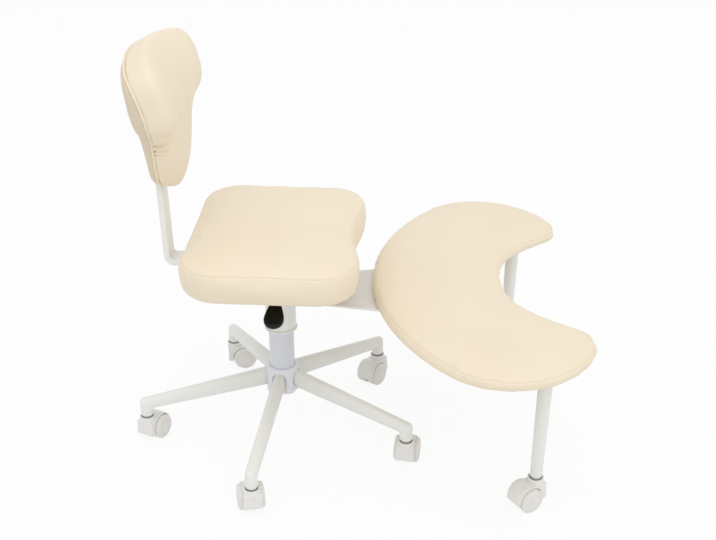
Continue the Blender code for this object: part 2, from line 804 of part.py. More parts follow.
def crescent_edges(count):
    # Outer and inner edge from the right tip to the left tip, sharing both tips
    centre_x = STOOL_REAR + STOOL_REAR_R
    lobe_y = STOOL_HALF_WIDTH - STOOL_LOBE_R
    lobe_x = centre_x - math.sqrt((STOOL_REAR_R - STOOL_LOBE_R) ** 2 - lobe_y**2)
    touch = math.atan2(lobe_y, lobe_x - centre_x)
    meet_y = lobe_y
    for _ in range(MEET_ROUNDS):
        gap = math.hypot(notch_x(meet_y) - lobe_x, meet_y - lobe_y) - STOOL_LOBE_R
        meet_y -= gap / 2
    corner = (notch_x(meet_y), meet_y)
    corner_angle = math.atan2(corner[1] - lobe_y, corner[0] - lobe_x)
    lobe_end = corner_angle + NOTCH_CORNER / STOOL_LOBE_R
    notch_end = meet_y - NOTCH_CORNER / 2
    lobe = arc((lobe_x, lobe_y), STOOL_LOBE_R, touch, lobe_end, STOOL_ARC_STEPS)
    rear = arc((centre_x, 0), STOOL_REAR_R, math.pi, touch, STOOL_ARC_STEPS // 2)
    rise = [notch_end * i / STOOL_ARC_STEPS for i in range(STOOL_ARC_STEPS + 1)]
    notch = [(notch_x(y), y) for y in rise]
    a, c = lobe[-1], notch[-1]
    bend = []
    for i in range(1, STOOL_BEND_STEPS):
        t = i / STOOL_BEND_STEPS
        bend.append(tuple(p * (1 - t) ** 2 + 2 * q * t * (1 - t) + r * t**2 for p, q, r in zip(a, corner, c)))
    middle = len(bend) // 2
    outer = resample([*rear[:-1], *lobe, *bend[: middle + 1]], count)
    inner = resample([*notch, *bend[middle:][::-1]], count)
    outer = [(x, -y) for x, y in outer[:0:-1]] + outer
    inner = [(x, -y) for x, y in inner[:0:-1]] + inner
    return outer, inner


def crescent_loop(count):
    # Anticlockwise: along the inner edge to the left tip, back along the outer edge
    outer, inner = crescent_edges(count)
    return [*inner, *outer[-2:0:-1]]


def stool_cushion():
    half = STOOL_SECTIONS // 2 + 1
    loop = crescent_loop(half)
    count = 2 * half - 1
    tip = max(x for x, _ in loop)
    tuck = []
    for x, _ in loop:
        forward = max(x - STOOL_TUCK_START, 0.0) / (tip - STOOL_TUCK_START)
        tuck.append(STOOL_TUCK + (STOOL_TIP_TUCK - STOOL_TUCK) * forward)
    recess = STOOL_BOARD_INSET - FIT
    lip = STOOL_FOOT + 2 * FIT
    rings = [
        raised(inset(loop, recess), STOOL_FOOT + STOOL_BOARD + FIT),
        raised(inset(loop, recess), lip),
        *side_rings(loop, lip, STOOL_SEAM - lip, tuck),
    ]

    def crown(work, edge):
        inner = edge[:count]
        outer = [edge[0], *edge[:count - 2:-1]]
        widest = max((a.co - b.co).length for a, b in zip(inner, outer))
        rows = []
        for a, b in zip(inner, outer):
            width = (a.co - b.co).length
            row = [a]
            for k in range(1, STOOL_STRIPS):
                t = k / STOOL_STRIPS
                arch = (4 * t * (1 - t)) ** STOOL_CROWN_POWER
                lift = Vector((0, 0, STOOL_CROWN * arch * math.sqrt(width / widest)))
                row.append(work.verts.new(a.co.lerp(b.co, t) + lift))
            rows.append(row + [b])
        for near, far in zip(rows, rows[1:]):
            for k in range(STOOL_STRIPS):
                corners = (near[k], far[k], far[k + 1], near[k + 1])
                unique = list(dict.fromkeys(corners))
                if len(unique) > 2:
                    work.faces.new(unique)

    return loft(rings, crown)


def arm_outline():
    flare = math.atan2(ARM_FRONT_HALF - ARM_END_R, ARM_FRONT)
    back = arc((0, 0), ARM_END_R, math.pi / 2 + flare, 1.5 * math.pi - flare, ARM_END_STEPS)
    corner = (ARM_FRONT - ARM_CORNER, ARM_FRONT_HALF - ARM_CORNER)
    left = arc(corner, ARM_CORNER, 0, math.pi / 2 + flare, ARM_CORNER_STEPS)
    right = [(x, -y) for x, y in reversed(left)]
    return [*left, *back, *right]


def add_footrest():
    stool = empty("stool_axis", column)
    collar_top = SLEEVE_FOOT - FIT
    collar_foot = collar_top - STOP_COLLAR_HEIGHT
    collar = [
        (SLEEVE_R + STOP_COLLAR_LIP / 2, collar_top),
        (SLEEVE_R + STOP_COLLAR_LIP, collar_top - STOP_COLLAR_HEIGHT / 3),
        (SLEEVE_R + STOP_COLLAR_LIP, collar_foot),
        (LINER_BORE, collar_foot),
        (LINER_BORE, collar_top),
    ]
    add_part("stool_stop_collar", revolve(collar, COLUMN_SIDES, closed=True), PAINT, column)
    liner = ring(LINER_R, LINER_BORE, SLEEVE_FOOT, ARM_TOP, COLUMN_SIDES)
    add_part("stool_sleeve_liner", liner, NYLON, stool)
    sleeve = ring(SLEEVE_R, SLEEVE_BORE, SLEEVE_FOOT, SLEEVE_TOP, COLUMN_SIDES)
    add_part("stool_sleeve", sleeve, PAINT, stool)
    arm = plate(arm_outline(), ARM_FOOT, ARM_TOP, ARM_EDGE)
    hole = cylinder(LINER_R + FIT, (0, 0, ARM_FOOT - CUT_SPARE), (0, 0, ARM_TOP + CUT_SPARE), COLUMN_SIDES)
    add_part("stool_arm", cut(arm, [hole]), PAINT, stool)
    half = STOOL_SECTIONS // 2 + 1
    board = plate(inset(crescent_loop(half), STOOL_BOARD_INSET), STOOL_FOOT, STOOL_FOOT + STOOL_BOARD)
    add_part("stool_board", board, PLYWOOD, stool)
    add_part("stool_cushion", stool_cushion(), LEATHER, stool)
    flange_top = STOOL_FOOT - FIT
    flange_foot = flange_top - STOOL_FLANGE_HEIGHT
    leg_top = flange_foot - FIT
    bore_top = LEG_FOOT + STEM_LENGTH + FIT
    leg = [
        (0, leg_top),
        (STOOL_LEG_TOP_R, leg_top),
        (STOOL_LEG_FOOT_R, LEG_FOOT),
        (STEM_R + FIT, LEG_FOOT),
        (STEM_R + FIT, bore_top),
        (0, bore_top),
    ]
    leg_mesh = revolve(leg, ROD_SIDES)
    flange = cylinder(STOOL_FLANGE_R, (0, 0, flange_foot), (0, 0, flange_top), COLUMN_SIDES)
    for label, side in (("left", 1), ("right", -1)):
        place = (STOOL_LEG_X, side * STOOL_LEG_Y)
        add_part(f"stool_leg_flange_{label}", flange, PAINT, stool, (*place, 0.0))
        add_part(f"stool_leg_{label}", leg_mesh, PAINT, stool, (*place, 0.0))
        add_caster(f"stool_{label}", stool, place, STOOL_CASTER_YAWS[label])


# Seat

def seat_loop():
    loop = rounded_rectangle(
        SEAT_FRONT, SEAT_REAR, SEAT_HALF_WIDTH, SEAT_FRONT_CORNER, SEAT_REAR_CORNER, SEAT_CORNER_STEPS
    )
    front_y = SEAT_HALF_WIDTH - SEAT_FRONT_CORNER
    rear_y = SEAT_HALF_WIDTH - SEAT_REAR_CORNER
    front_run = [(SEAT_FRONT, front_y * t) for t in spread(SEAT_FRONT_STEPS)]
    rear_run = [(-SEAT_REAR, -rear_y * t) for t in spread(SEAT_REAR_STEPS)]
    half = 2 * (SEAT_CORNER_STEPS + 1)
    full = [*loop[:half], *rear_run, *loop[half:], *front_run]
    notched = []
    for x, y in full:
        if x > 0 and abs(y) < SEAT_NOTCH_HALF:
            x -= SEAT_NOTCH * (1 + math.cos(math.pi * y / SEAT_NOTCH_HALF)) / 2
        notched.append((x, y))
    return notched


def seat_cushion():
    loop = seat_loop()
    recess = SEAT_BOARD_INSET - FIT
    lip = SEAT_FOOT + 2 * FIT
    rings = [
        raised(inset(loop, recess), SEAT_FOOT + SEAT_BOARD + FIT),
        raised(inset(loop, recess), lip),
        *side_rings(loop, lip, SEAT_SEAM - lip, [SEAT_TUCK] * len(loop)),
    ]
    return loft(rings, pillow((0.0, 0.0), SEAT_CROWN, SEAT_CROWN_REACH))


def seat_tray():
    floor_length = TRAY_HALF_LENGTH - TRAY_RIM - TRAY_DRAFT
    floor_width = TRAY_HALF_WIDTH - TRAY_RIM - TRAY_DRAFT

    def frame(grow, z):
        length = floor_length + grow
        width = floor_width + grow
        loop = rounded_rectangle(length, length, width, TRAY_CORNER, TRAY_CORNER, TRAY_CORNER_STEPS)
        return raised(loop, z)

    under_rim = TRAY_TOP - TRAY_SHEET
    pan = loft(
        [
            frame(0.0, TRAY_FOOT),
            frame(TRAY_DRAFT, under_rim),
            frame(TRAY_DRAFT + TRAY_RIM, under_rim),
            frame(TRAY_DRAFT + TRAY_RIM, TRAY_TOP),
            frame(TRAY_DRAFT - TRAY_SHEET, TRAY_TOP),
            frame(-TRAY_SHEET, TRAY_FOOT + TRAY_SHEET),
        ]
    )
    bore_r = CYLINDER_R + FIT
    socket_top = TRAY_FOOT + SOCKET_RISE
    socket = cylinder(bore_r + SOCKET_WALL, (0, 0, SOCKET_FOOT), (0, 0, socket_top), COLUMN_SIDES)
    bore = cylinder(bore_r, (0, 0, SOCKET_FOOT - CUT_SPARE), (0, 0, TRAY_TOP), COLUMN_SIDES)
    hole = cylinder(
        LEVER_ROD_R + LEVER_PLAY, (LEVER_X, 0, LEVER_Z), (LEVER_X, -TRAY_HALF_WIDTH, LEVER_Z), ROD_SIDES
    )
    return cut(joined(pan, [socket]), [bore, hole])


def back_bar():
    up = Vector((-math.sin(BAR_LEAN), math.cos(BAR_LEAN)))
    forward = Vector((math.cos(BAR_LEAN), math.sin(BAR_LEAN)))
    front_foot = Vector((-BAR_REACH, BACK_FOOT))
    bend_z = BAR_TOP + BAR_BEND
    bend_x = -BAR_REACH + (BAR_BEND - (bend_z - BACK_FOOT) * forward.y) / forward.x
    bar_front = TRAY_RIM - TRAY_HALF_LENGTH - BAR_TRAY_GAP
    end_front = front_foot + up * BAR_RISE
    end_rear = end_front - forward * BAR_THICKNESS
    down, back = 1.5 * math.pi, math.pi + BAR_LEAN
    profile = [
        (bar_front, BAR_TOP),
        *arc((bend_x, bend_z), BAR_BEND, down, back, BAR_BEND_STEPS),
        tuple(end_front),
        tuple(end_rear),
        *arc((bend_x, bend_z), BAR_BEND + BAR_THICKNESS, back, down, BAR_BEND_STEPS),
        (bar_front, BAR_TOP - BAR_THICKNESS),
    ]
    bar = plate(profile, -BAR_WIDTH / 2, BAR_WIDTH / 2, BAR_EDGE)
    bar.transform(Matrix.Rotation(math.pi / 2, 4, "X"))
    return bar


def back_loop():
    # Half width and distance up the face, from the foot round the right wing to the top, then mirrored
    half = smooth_run(
        [
            (0.0, -BACK_FOOT_SAG),
            (BACK_FOOT_HALF, BACK_FOOT_RISE),
            (BACK_STEM_HALF, BACK_STEM_RISE),
            (BACK_WAIST_HALF, BACK_WAIST_RISE),
            (BACK_WING_FOOT_HALF, BACK_WING_FOOT),
            (BACK_WING_HALF, BACK_WING_RISE),
            (BACK_UPPER_HALF, BACK_UPPER_RISE),
            (BACK_SHOULDER_HALF, BACK_SHOULDER_RISE),
            (0.0, BACK_HEIGHT),
        ],
        SPLINE_STEPS,
    )
    half = resample(half, BACK_POINTS)
    return [*half, *[(-y, z) for y, z in half[-2:0:-1]]]


def top_drop(rise):
    # How far the panel's top edge lies below the front of the pad
    return BACK_TOP_DROP * max(rise - BACK_SHOULDER_RISE, 0.0) / (BACK_HEIGHT - BACK_SHOULDER_RISE)


def on_back(y, rise, depth):
    # Width, distance up the face and depth in front of it, on a face that bends back and wraps forward
    low = min(rise, BACK_BEND_FOOT)
    turned = min(max(rise - BACK_BEND_FOOT, 0.0), BACK_BEND_LENGTH)
    high = max(rise - BACK_BEND_FOOT - BACK_BEND_LENGTH, 0.0)
    lean = BAR_LEAN + turned / BACK_BEND_R
    x = BACK_BEND_R * (math.cos(lean) - math.cos(BAR_LEAN)) - low * math.sin(BAR_LEAN) - high * math.sin(lean)
    z = BACK_BEND_R * (math.sin(lean) - math.sin(BAR_LEAN)) + low * math.cos(BAR_LEAN) + high * math.cos(lean)
    out = depth + y**2 / (2 * BACK_WRAP_R)
    return Vector((x + out * math.cos(lean), y, z + out * math.sin(lean)))


def back_cap(ring):
    # Rings from the middle out, so that a flat end can follow the bent face
    middle = Vector((0.0, BACK_WING_RISE, ring[0][2]))
    return [[middle.lerp(Vector(point), share) for point in ring] for share in CAP_RINGS]


def bent_back(mesh):
    for vertex in mesh.vertices:
        vertex.co = on_back(*vertex.co)
    return mesh


def back_panel():
    loop = inset(back_loop(), BACK_TUCK - PANEL_LIP)
    rear = raised(inset(loop, 5 * PANEL_RIM), -PANEL_THICKNESS)
    front = raised(inset(back_loop(), BACK_TUCK), 0.0)
    mesh = loft(
        [
            *back_cap(front),
            front,
            raised(loop, 0.0),
            raised(loop, 3 * PANEL_RIM - PANEL_THICKNESS),
            raised(inset(loop, PANEL_RIM / 2), 2 * PANEL_RIM - PANEL_THICKNESS),
            raised(inset(loop, 2 * PANEL_RIM), PANEL_RIM / 2 - PANEL_THICKNESS),
            rear,
            *reversed(back_cap(rear)),
        ]
    )
    for vertex in mesh.vertices:
        swell = min(max((vertex.co.y - BACK_STEM_RISE) / (BACK_WING_FOOT - BACK_STEM_RISE), 0.0), 1.0)
        thin = max(vertex.co.y - BACK_WING_RISE, 0.0) / (BACK_HEIGHT - BACK_WING_RISE)
        vertex.co.z *= 1 + PANEL_SWELL * swell - (PANEL_SWELL + PANEL_TAPER) * thin
        vertex.co.y -= top_drop(vertex.co.y)
    bent_back(mesh)
    half = BAR_WIDTH / 2 + FIT
    slot = [(-half, -CUT_SPARE), (half, -CUT_SPARE), (half, BAR_RISE + FIT), (-half, BAR_RISE + FIT)]
    groove = plate(slot, -BAR_THICKNESS - FIT, CUT_SPARE)
    for vertex in groove.vertices:
        y, rise, depth = vertex.co
        x = depth * math.cos(BAR_LEAN) - rise * math.sin(BAR_LEAN)
        vertex.co = (x, y, rise * math.cos(BAR_LEAN) + depth * math.sin(BAR_LEAN))
    return cut(mesh, [groove])


def back_cushion():
    loop = back_loop()
    rings = side_rings(loop, 0.0, 1.0, [BACK_TUCK] * len(loop))
    mesh = loft([*back_cap(rings[0]), *rings], pillow((0.0, BACK_WING_RISE), BACK_CROWN, BACK_CROWN_REACH))
    for vertex in mesh.vertices:
        head = (vertex.co.y - BACK_WAIST_RISE) / BACK_HEAD_STEP
        head = min(max(head, 0.0), 1.0)
        head = head * head * (3 - 2 * head)
        side = BACK_SIDE + (BACK_HEAD_SIDE - BACK_SIDE) * head
        depth = min(vertex.co.z, 1.0) * side + max(vertex.co.z - 1.0, 0.0)
        vertex.co.y -= top_drop(vertex.co.y) * (1 - min(vertex.co.z, 1.0))
        vertex.co.z = FIT + depth
    return bent_back(mesh)


# Height lever

def lever_rod():
    reach = TRAY_WALL_Y + LEVER_OVERREACH
    slope_y = math.cos(LEVER_SLOPE)
    slope_z = math.sin(LEVER_SLOPE)
    bend = -LEVER_STRAIGHT
    run = LEVER_LENGTH - KNOB_LENGTH + LEVER_SEAT
    points = [(0.0, reach, 0.0), (0.0, bend, 0.0), (0.0, bend - run * slope_y, -run * slope_z)]
    return bent_rod(points, [LEVER_ROD_R] * len(points), LEVER_ROD_RESOLUTION)


def lever_knob():
    straight = KNOB_LENGTH - KNOB_R
    side = []
    for i in range(KNOB_STEPS + 1):
        t = i / KNOB_STEPS
        side.append((straight * t, KNOB_NECK + (KNOB_R - KNOB_NECK) * t * t * (3 - 2 * t)))
    tip = arc((straight, 0), KNOB_R, math.pi / 2, -math.pi / 2, KNOB_STEPS)
    loop = [*side[:-1], *tip, *[(x, -y) for x, y in reversed(side[:-1])]]
    paddle = plate(loop[::-1], -KNOB_THICKNESS / 2, KNOB_THICKNESS / 2, KNOB_EDGE)
    bore = cylinder(LEVER_ROD_R + FIT, (-CUT_SPARE, 0, 0), (LEVER_SEAT + FIT, 0, 0), PIN_SIDES)
    paddle = cut(paddle, [bore])
    start = LEVER_LENGTH - KNOB_LENGTH
    place = Matrix.Translation((0.0, -LEVER_STRAIGHT, 0.0))
    turn = Matrix.Rotation(-math.pi / 2, 4, "Z") @ Matrix.Rotation(LEVER_SLOPE, 4, "Y")
    paddle.transform(place @ turn @ Matrix.Translation((start, 0.0, 0.0)))
    return paddle


def add_seat():
    seat = empty("seat_axis", column, rotation=(0.0, 0.0, SEAT_YAW))
    add_part("seat_tray", seat_tray(), PAINT, seat)
    board = plate(inset(seat_loop(), SEAT_BOARD_INSET), SEAT_FOOT, SEAT_FOOT + SEAT_BOARD)
    add_part("seat_board", board, PLYWOOD, seat)
    add_part("seat_cushion", seat_cushion(), LEATHER, seat)
    add_part("back_bar", back_bar(), PAINT, seat)
    back = empty("back_frame", seat, (-BAR_REACH, 0.0, BACK_FOOT))
    add_part("back_panel", back_panel(), LEATHER, back)
    add_part("back_cushion", back_cushion(), LEATHER, back)
    pivot = empty("lever_pivot", seat, (LEVER_X, -TRAY_WALL_Y, LEVER_Z))
    add_part("lever_rod", lever_rod(), STEEL, pivot)
    add_part("lever_knob", lever_knob(), BLACK_PLASTIC, pivot)


add_base()
add_gas_lift()
add_footrest()
add_seat()
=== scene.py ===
import json
import math

import bmesh
import bpy
import numpy as np
from mathutils import Matrix, Vector, kdtree


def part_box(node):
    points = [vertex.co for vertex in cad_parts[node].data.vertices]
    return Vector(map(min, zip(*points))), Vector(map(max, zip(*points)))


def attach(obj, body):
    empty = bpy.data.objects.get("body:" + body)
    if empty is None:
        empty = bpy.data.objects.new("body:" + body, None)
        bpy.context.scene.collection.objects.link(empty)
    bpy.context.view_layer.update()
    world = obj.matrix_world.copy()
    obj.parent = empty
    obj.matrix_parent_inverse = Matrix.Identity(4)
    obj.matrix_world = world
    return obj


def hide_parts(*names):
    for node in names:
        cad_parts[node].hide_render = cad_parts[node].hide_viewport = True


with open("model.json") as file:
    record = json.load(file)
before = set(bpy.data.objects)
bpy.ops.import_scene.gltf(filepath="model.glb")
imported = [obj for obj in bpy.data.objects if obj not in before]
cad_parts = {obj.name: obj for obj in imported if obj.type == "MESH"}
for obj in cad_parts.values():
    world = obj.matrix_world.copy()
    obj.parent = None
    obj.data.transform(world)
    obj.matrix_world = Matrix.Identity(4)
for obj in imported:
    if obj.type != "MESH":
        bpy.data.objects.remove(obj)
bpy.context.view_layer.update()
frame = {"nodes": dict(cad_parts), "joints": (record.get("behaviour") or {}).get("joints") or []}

nodes = frame["nodes"]
jointAt = {j["name"]: Vector(j["pos_m"]) for j in frame["joints"] if j.get("pos_m")}
columnSpot = Matrix.Translation((jointAt["seat_swivel"].x, jointAt["seat_swivel"].y, 0.0))
seatSpot = columnSpot @ Matrix.Rotation(math.radians(-3.5), 4, "Z")  # the seat is turned a little to its right
casterLabels = ["1", "2", "3", "4", "5", "stool_left", "stool_right"]
print("frame loaded:", len(nodes), "nodes")


# camera, placed as in the photo

photoView = {"place": (0.0, -1.8932, 1.3638), "down": 29.5665, "roll": 0.3621, "yaw": -0.54,
             "lens": 55.22, "shift": (-0.00138, 0.05306)}

camera = bpy.data.objects.new("photoCamera", bpy.data.cameras.new("photoCamera"))
bpy.context.scene.collection.objects.link(camera)
camera.data.sensor_width = 36.0
camera.data.lens = photoView["lens"]
camera.data.shift_x, camera.data.shift_y = photoView["shift"]
camera.matrix_world = (Matrix.Translation(photoView["place"])
                       @ Matrix.Rotation(math.radians(photoView["yaw"]), 4, "Z")
                       @ Matrix.Rotation(math.radians(90 - photoView["down"]), 4, "X")
                       @ Matrix.Rotation(math.radians(photoView["roll"]), 4, "Z"))
bpy.context.scene.camera = camera
bpy.context.scene.view_settings.view_transform = "Standard"
print("camera set")


# materials

def linearColour(code):
    parts = [int(code[i:i + 2], 16) / 255 for i in (1, 3, 5)]
    return tuple(c / 12.92 if c <= 0.04045 else ((c + 0.055) / 1.055) ** 2.4 for c in parts) + (1.0,)


def addNode(tree, kind, settings=None, links=None):
    node = tree.nodes.new(kind)
    for key, value in (settings or {}).items():
        if isinstance(key, int) or key in node.inputs:
            node.inputs[key].default_value = value
        else:
            setattr(node, key, value)
    for key, source in (links or {}).items():
        tree.links.new(source, node.inputs[key])
    return node


def makeFinish(look):
    # patches of a second tint, roughness that wanders a little, and one or two layers of fine relief
    made = bpy.data.materials.new(look["name"])
    made.use_nodes = True
    tree = made.node_tree
    shader = tree.nodes["Principled BSDF"]
    where = addNode(tree, "ShaderNodeTexCoord").outputs["Object"]
    if "stretch" in look:
        where = addNode(tree, "ShaderNodeMapping", {"Scale": look["stretch"]}, {"Vector": where}).outputs[0]
    patch = addNode(tree, "ShaderNodeTexNoise", {"Scale": 1000 / look["patchMm"], "Detail": 4.0}, {"Vector": where})
    tint = addNode(tree, "ShaderNodeMix",
                   {"data_type": "RGBA", 6: linearColour(look["colour"]), 7: linearColour(look["second"])},
                   {0: patch.outputs[0]})
    tree.links.new(tint.outputs[2], shader.inputs["Base Color"])
    low, high = look["rough"]
    gloss = addNode(tree, "ShaderNodeTexNoise", {"Scale": 1000 / look["glossMm"], "Detail": 3.0}, {"Vector": where})
    rough = addNode(tree, "ShaderNodeMapRange", {"To Min": low, "To Max": high}, {"Value": gloss.outputs[0]})
    tree.links.new(rough.outputs[0], shader.inputs["Roughness"])
    relief = None
    for kind, sizeMm, depthMm in look["relief"]:
        source = addNode(tree, kind, {"Scale": 1000 / sizeMm}, {"Vector": where})
        bump = addNode(tree, "ShaderNodeBump", {"Strength": 1.0, "Distance": depthMm / 1000},
                       {"Height": source.outputs[0]})
        if relief:
            tree.links.new(relief, bump.inputs["Normal"])
        relief = bump.outputs[0]
    tree.links.new(relief, shader.inputs["Normal"])
    for socket, value in look.get("shader", {}).items():
        shader.inputs[socket].default_value = value
    made.diffuse_color = linearColour(look["colour"])
    return made


noise, cells = "ShaderNodeTexNoise", "ShaderNodeTexVoronoi"

# polyurethane faux leather: an embossed pebble about 1 mm across, satin, with slow hills from the foam below
fauxLeather = makeFinish({
    "name": "cream_polyurethane_faux_leather", "colour": "#F1E4CD", "second": "#EBDCC2", "patchMm": 160,
    "rough": (0.44, 0.56), "glossMm": 40, "relief": [(noise, 24, 0.25), (cells, 1.3, 0.08)],
    "shader": {"IOR": 1.47, "Sheen Weight": 0.06, "Sheen Roughness": 0.4}})

# the same hide on the back of the rest, stretched flat on a board, with its colour darkened as painted shade for the
# side that faces away from the light
fauxLeatherPaintedShade = makeFinish({
    "name": "cream_faux_leather_painted_shade", "colour": "#DFD2BB", "second": "#D8CAB1", "patchMm": 120,
    "rough": (0.46, 0.58), "glossMm": 40, "relief": [(noise, 30, 0.3), (cells, 1.3, 0.10)],
    "shader": {"IOR": 1.47}})

# the cord that shows in the seams; its colour, a little deeper than the hide, is painted shade of the groove it lies
# in
seamCordPaintedShade = makeFinish({
    "name": "cream_seam_cord_painted_shade", "colour": "#EEE1C9", "second": "#E8DABF", "patchMm": 60,
    "rough": (0.55, 0.65), "glossMm": 20, "relief": [(cells, 1.3, 0.08)], "shader": {"IOR": 1.47}})

# baked powder coat on steel: faint orange peel, half gloss
powderCoat = makeFinish({
    "name": "warm_white_powder_coat", "colour": "#EFF0EC", "second": "#E9EAE5", "patchMm": 70,
    "rough": (0.34, 0.44), "glossMm": 18, "relief": [(noise, 1.6, 0.035)], "shader": {"IOR": 1.5}})

# column tube, sprayed a cooler white
columnPaint = makeFinish({
    "name": "cool_white_sprayed_enamel", "colour": "#DFE1E8", "second": "#D9DCE4", "patchMm": 60,
    "rough": (0.30, 0.40), "glossMm": 15, "relief": [(noise, 1.8, 0.02)], "shader": {"IOR": 1.5}})

# injection moulded polypropylene of the cap over the hub
capPlastic = makeFinish({
    "name": "cool_white_moulded_polypropylene", "colour": "#E8EAF1", "second": "#E3E6ED", "patchMm": 45,
    "rough": (0.40, 0.50), "glossMm": 8, "relief": [(noise, 0.7, 0.03)], "shader": {"IOR": 1.49}})

# glass filled nylon of the caster hoods, finely spark eroded
hoodNylon = makeFinish({
    "name": "off_white_moulded_nylon", "colour": "#EDECE9", "second": "#E7E6E2", "patchMm": 25,
    "rough": (0.40, 0.52), "glossMm": 6, "relief": [(noise, 0.6, 0.03)], "shader": {"IOR": 1.53}})

# the wheels pick up a little floor dirt
wheelNylon = makeFinish({
    "name": "off_white_nylon_wheel", "colour": "#ECEBE7", "second": "#E1DFDB", "patchMm": 14,
    "rough": (0.40, 0.56), "glossMm": 6, "relief": [(noise, 0.8, 0.03)], "shader": {"IOR": 1.53}})

# satin ABS of the lever's paddle
paddlePlastic = makeFinish({
    "name": "black_satin_abs", "colour": "#0B0E10", "second": "#101315", "patchMm": 20,
    "rough": (0.38, 0.48), "glossMm": 10, "relief": [(noise, 3.0, 0.01)],
    "shader": {"IOR": 1.5, "Specular IOR Level": 0.25}})

# plain white nylon of the bearings
bearingNylon = makeFinish({
    "name": "white_acetal_bearing", "colour": "#E8E8E4", "second": "#E0E0DB", "patchMm": 20,
    "rough": (0.35, 0.45), "glossMm": 8, "relief": [(noise, 1.0, 0.02)], "shader": {"IOR": 1.48}})

# zinc plated steel, with a fine even relief in place of the drawing lines along its length
zincSteel = makeFinish({
    "name": "zinc_plated_steel", "colour": "#C4C6C8", "second": "#B2B5B8", "patchMm": 9,
    "rough": (0.26, 0.40), "glossMm": 3, "relief": [(noise, 1.2, 0.015)], "shader": {"Metallic": 1.0}})

# hard chrome on the lift's cylinder
hardChrome = makeFinish({
    "name": "hard_chrome_plate", "colour": "#DADCDE", "second": "#D2D4D7", "patchMm": 40,
    "rough": (0.06, 0.12), "glossMm": 12, "relief": [(noise, 4.0, 0.004)], "shader": {"Metallic": 1.0}})

# poplar plywood: long grain along x, drawn coarser than the pores
plywood = makeFinish({
    "name": "poplar_plywood", "colour": "#C9A877", "second": "#A98455", "patchMm": 14, "stretch": (0.12, 1.0, 1.0),
    "rough": (0.55, 0.7), "glossMm": 10, "relief": [(noise, 2.0, 0.06)], "shader": {"IOR": 1.5}})
print("materials made:", len(bpy.data.materials))


# modelling helpers

def clearPick():
    if bpy.context.mode != "OBJECT":
        bpy.ops.object.mode_set(mode="OBJECT")
    bpy.ops.object.select_all(action="DESELECT")


def holdOnly(obj):
    clearPick()
    obj.select_set(True)
    bpy.context.view_layer.objects.active = obj


def pickAll():
    bpy.ops.mesh.select_all(action="SELECT")


def editAll(obj):
    holdOnly(obj)
    bpy.ops.object.mode_set(mode="EDIT")
    pickAll()


def facesOut():
    # the faces of the mesh in hand turned outwards, and the end of its editing
    pickAll()
    bpy.ops.mesh.normals_make_consistent(inside=False)
    bpy.ops.object.mode_set(mode="OBJECT")


def applyModifier(obj, kind, **settings):
    holdOnly(obj)
    modifier = obj.modifiers.new("step", kind)
    for key, value in settings.items():
        setattr(modifier, key, value)
    bpy.ops.object.modifier_apply(modifier=modifier.name)


def roundEdges(obj, width, segments=2, angle=35):
    applyModifier(obj, "BEVEL", width=width, segments=segments, limit_method="ANGLE",
                  angle_limit=math.radians(angle), harden_normals=False)


def startChain(name, first):
    # one vertex, ready to be extruded along an outline
    clearPick()
    bpy.context.tool_settings.mesh_select_mode = (True, False, False)
    bpy.ops.mesh.primitive_plane_add(size=0.002, location=(0, 0, 0))
    obj = bpy.context.object
    obj.name = name
    bpy.ops.object.mode_set(mode="EDIT")
    pickAll()
    bpy.ops.mesh.merge(type="CENTER")
    pickAll()
    bpy.ops.transform.translate(value=first)
    return obj


def extrudeChain(points):
    for a, b in zip(points, points[1:]):
        bpy.ops.mesh.extrude_vertices_move(TRANSFORM_OT_translate={"value": tuple(q - p for p, q in zip(a, b))})


def drawOut(name, points, value):
    # an outline filled and drawn out to a solid, left in edit mode
    obj = startChain(name, points[0])
    extrudeChain(points)
    pickAll()
    bpy.ops.mesh.edge_face_add()
    pickAll()
    bpy.ops.mesh.extrude_region_move(TRANSFORM_OT_translate={"value": value})
    pickAll()
    bpy.ops.mesh.normals_make_consistent(inside=False)
    return obj


def lathe(name, profile, steps=64):
    # the outline as radius and height, spun round the upright axis
    points = [(r, 0.0, z) for r, z in profile]
    obj = startChain(name, points[0])
    extrudeChain(points)
    pickAll()
    bpy.ops.mesh.spin(steps=steps, angle=2 * math.pi, center=(0, 0, 0), axis=(0, 0, 1))
    pickAll()
    bpy.ops.mesh.remove_doubles(threshold=0.000002)
    facesOut()
    return obj


def copyAt(obj, name, spot):
    made = bpy.data.objects.new(name, obj.data.copy())
    made.data.transform(spot)
    if spot.determinant() < 0:
        made.data.flip_normals()
    bpy.context.scene.collection.objects.link(made)
    return made


def copyOfNode(node, name):
    # the solid's own shape with its loose triangles joined up
    made = copyAt(nodes[node], name, Matrix.Identity(4))
    made.data.materials.clear()
    editAll(made)
    bpy.ops.mesh.remove_doubles(threshold=0.00001)
    bpy.ops.object.mode_set(mode="OBJECT")
    return made


def dissolveFlats(obj, degrees=2.0):
    editAll(obj)
    bpy.ops.mesh.dissolve_limited(angle_limit=math.radians(degrees))
    bpy.ops.object.mode_set(mode="OBJECT")


def settle(obj, body, finish, stands=(), smooth=40):
    holdOnly(obj)
    bpy.ops.object.transform_apply(location=True, rotation=True, scale=True)
    bpy.ops.object.shade_smooth_by_angle(angle=math.radians(smooth))
    obj.data.materials.clear()
    obj.data.materials.append(finish)
    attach(obj, body)
    if stands:
        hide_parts(*stands)
    return obj


def paintSteel(obj, body, stands=(), smooth=40):
    return settle(obj, body, powderCoat, stands, smooth)


def drop(obj):
    bpy.data.objects.remove(obj)


# five-star base

legSize = {"rootX": 0.0270, "hubR": 0.0318, "rootZ": 0.134564, "slope": 10.0, "rootR": 0.0168, "tipR": 0.0125,
           "reach": 0.28, "cornerZ": 0.0908, "foot": 0.066, "firstDeg": 188.7, "sides": 40, "spare": 0.03,
           "wide": 0.78, "tall": 1.2, "ease": 0.0055, "easeSteps": 5, "wall": 0.0045, "bore": 0.006,
           "edge": 0.0007}


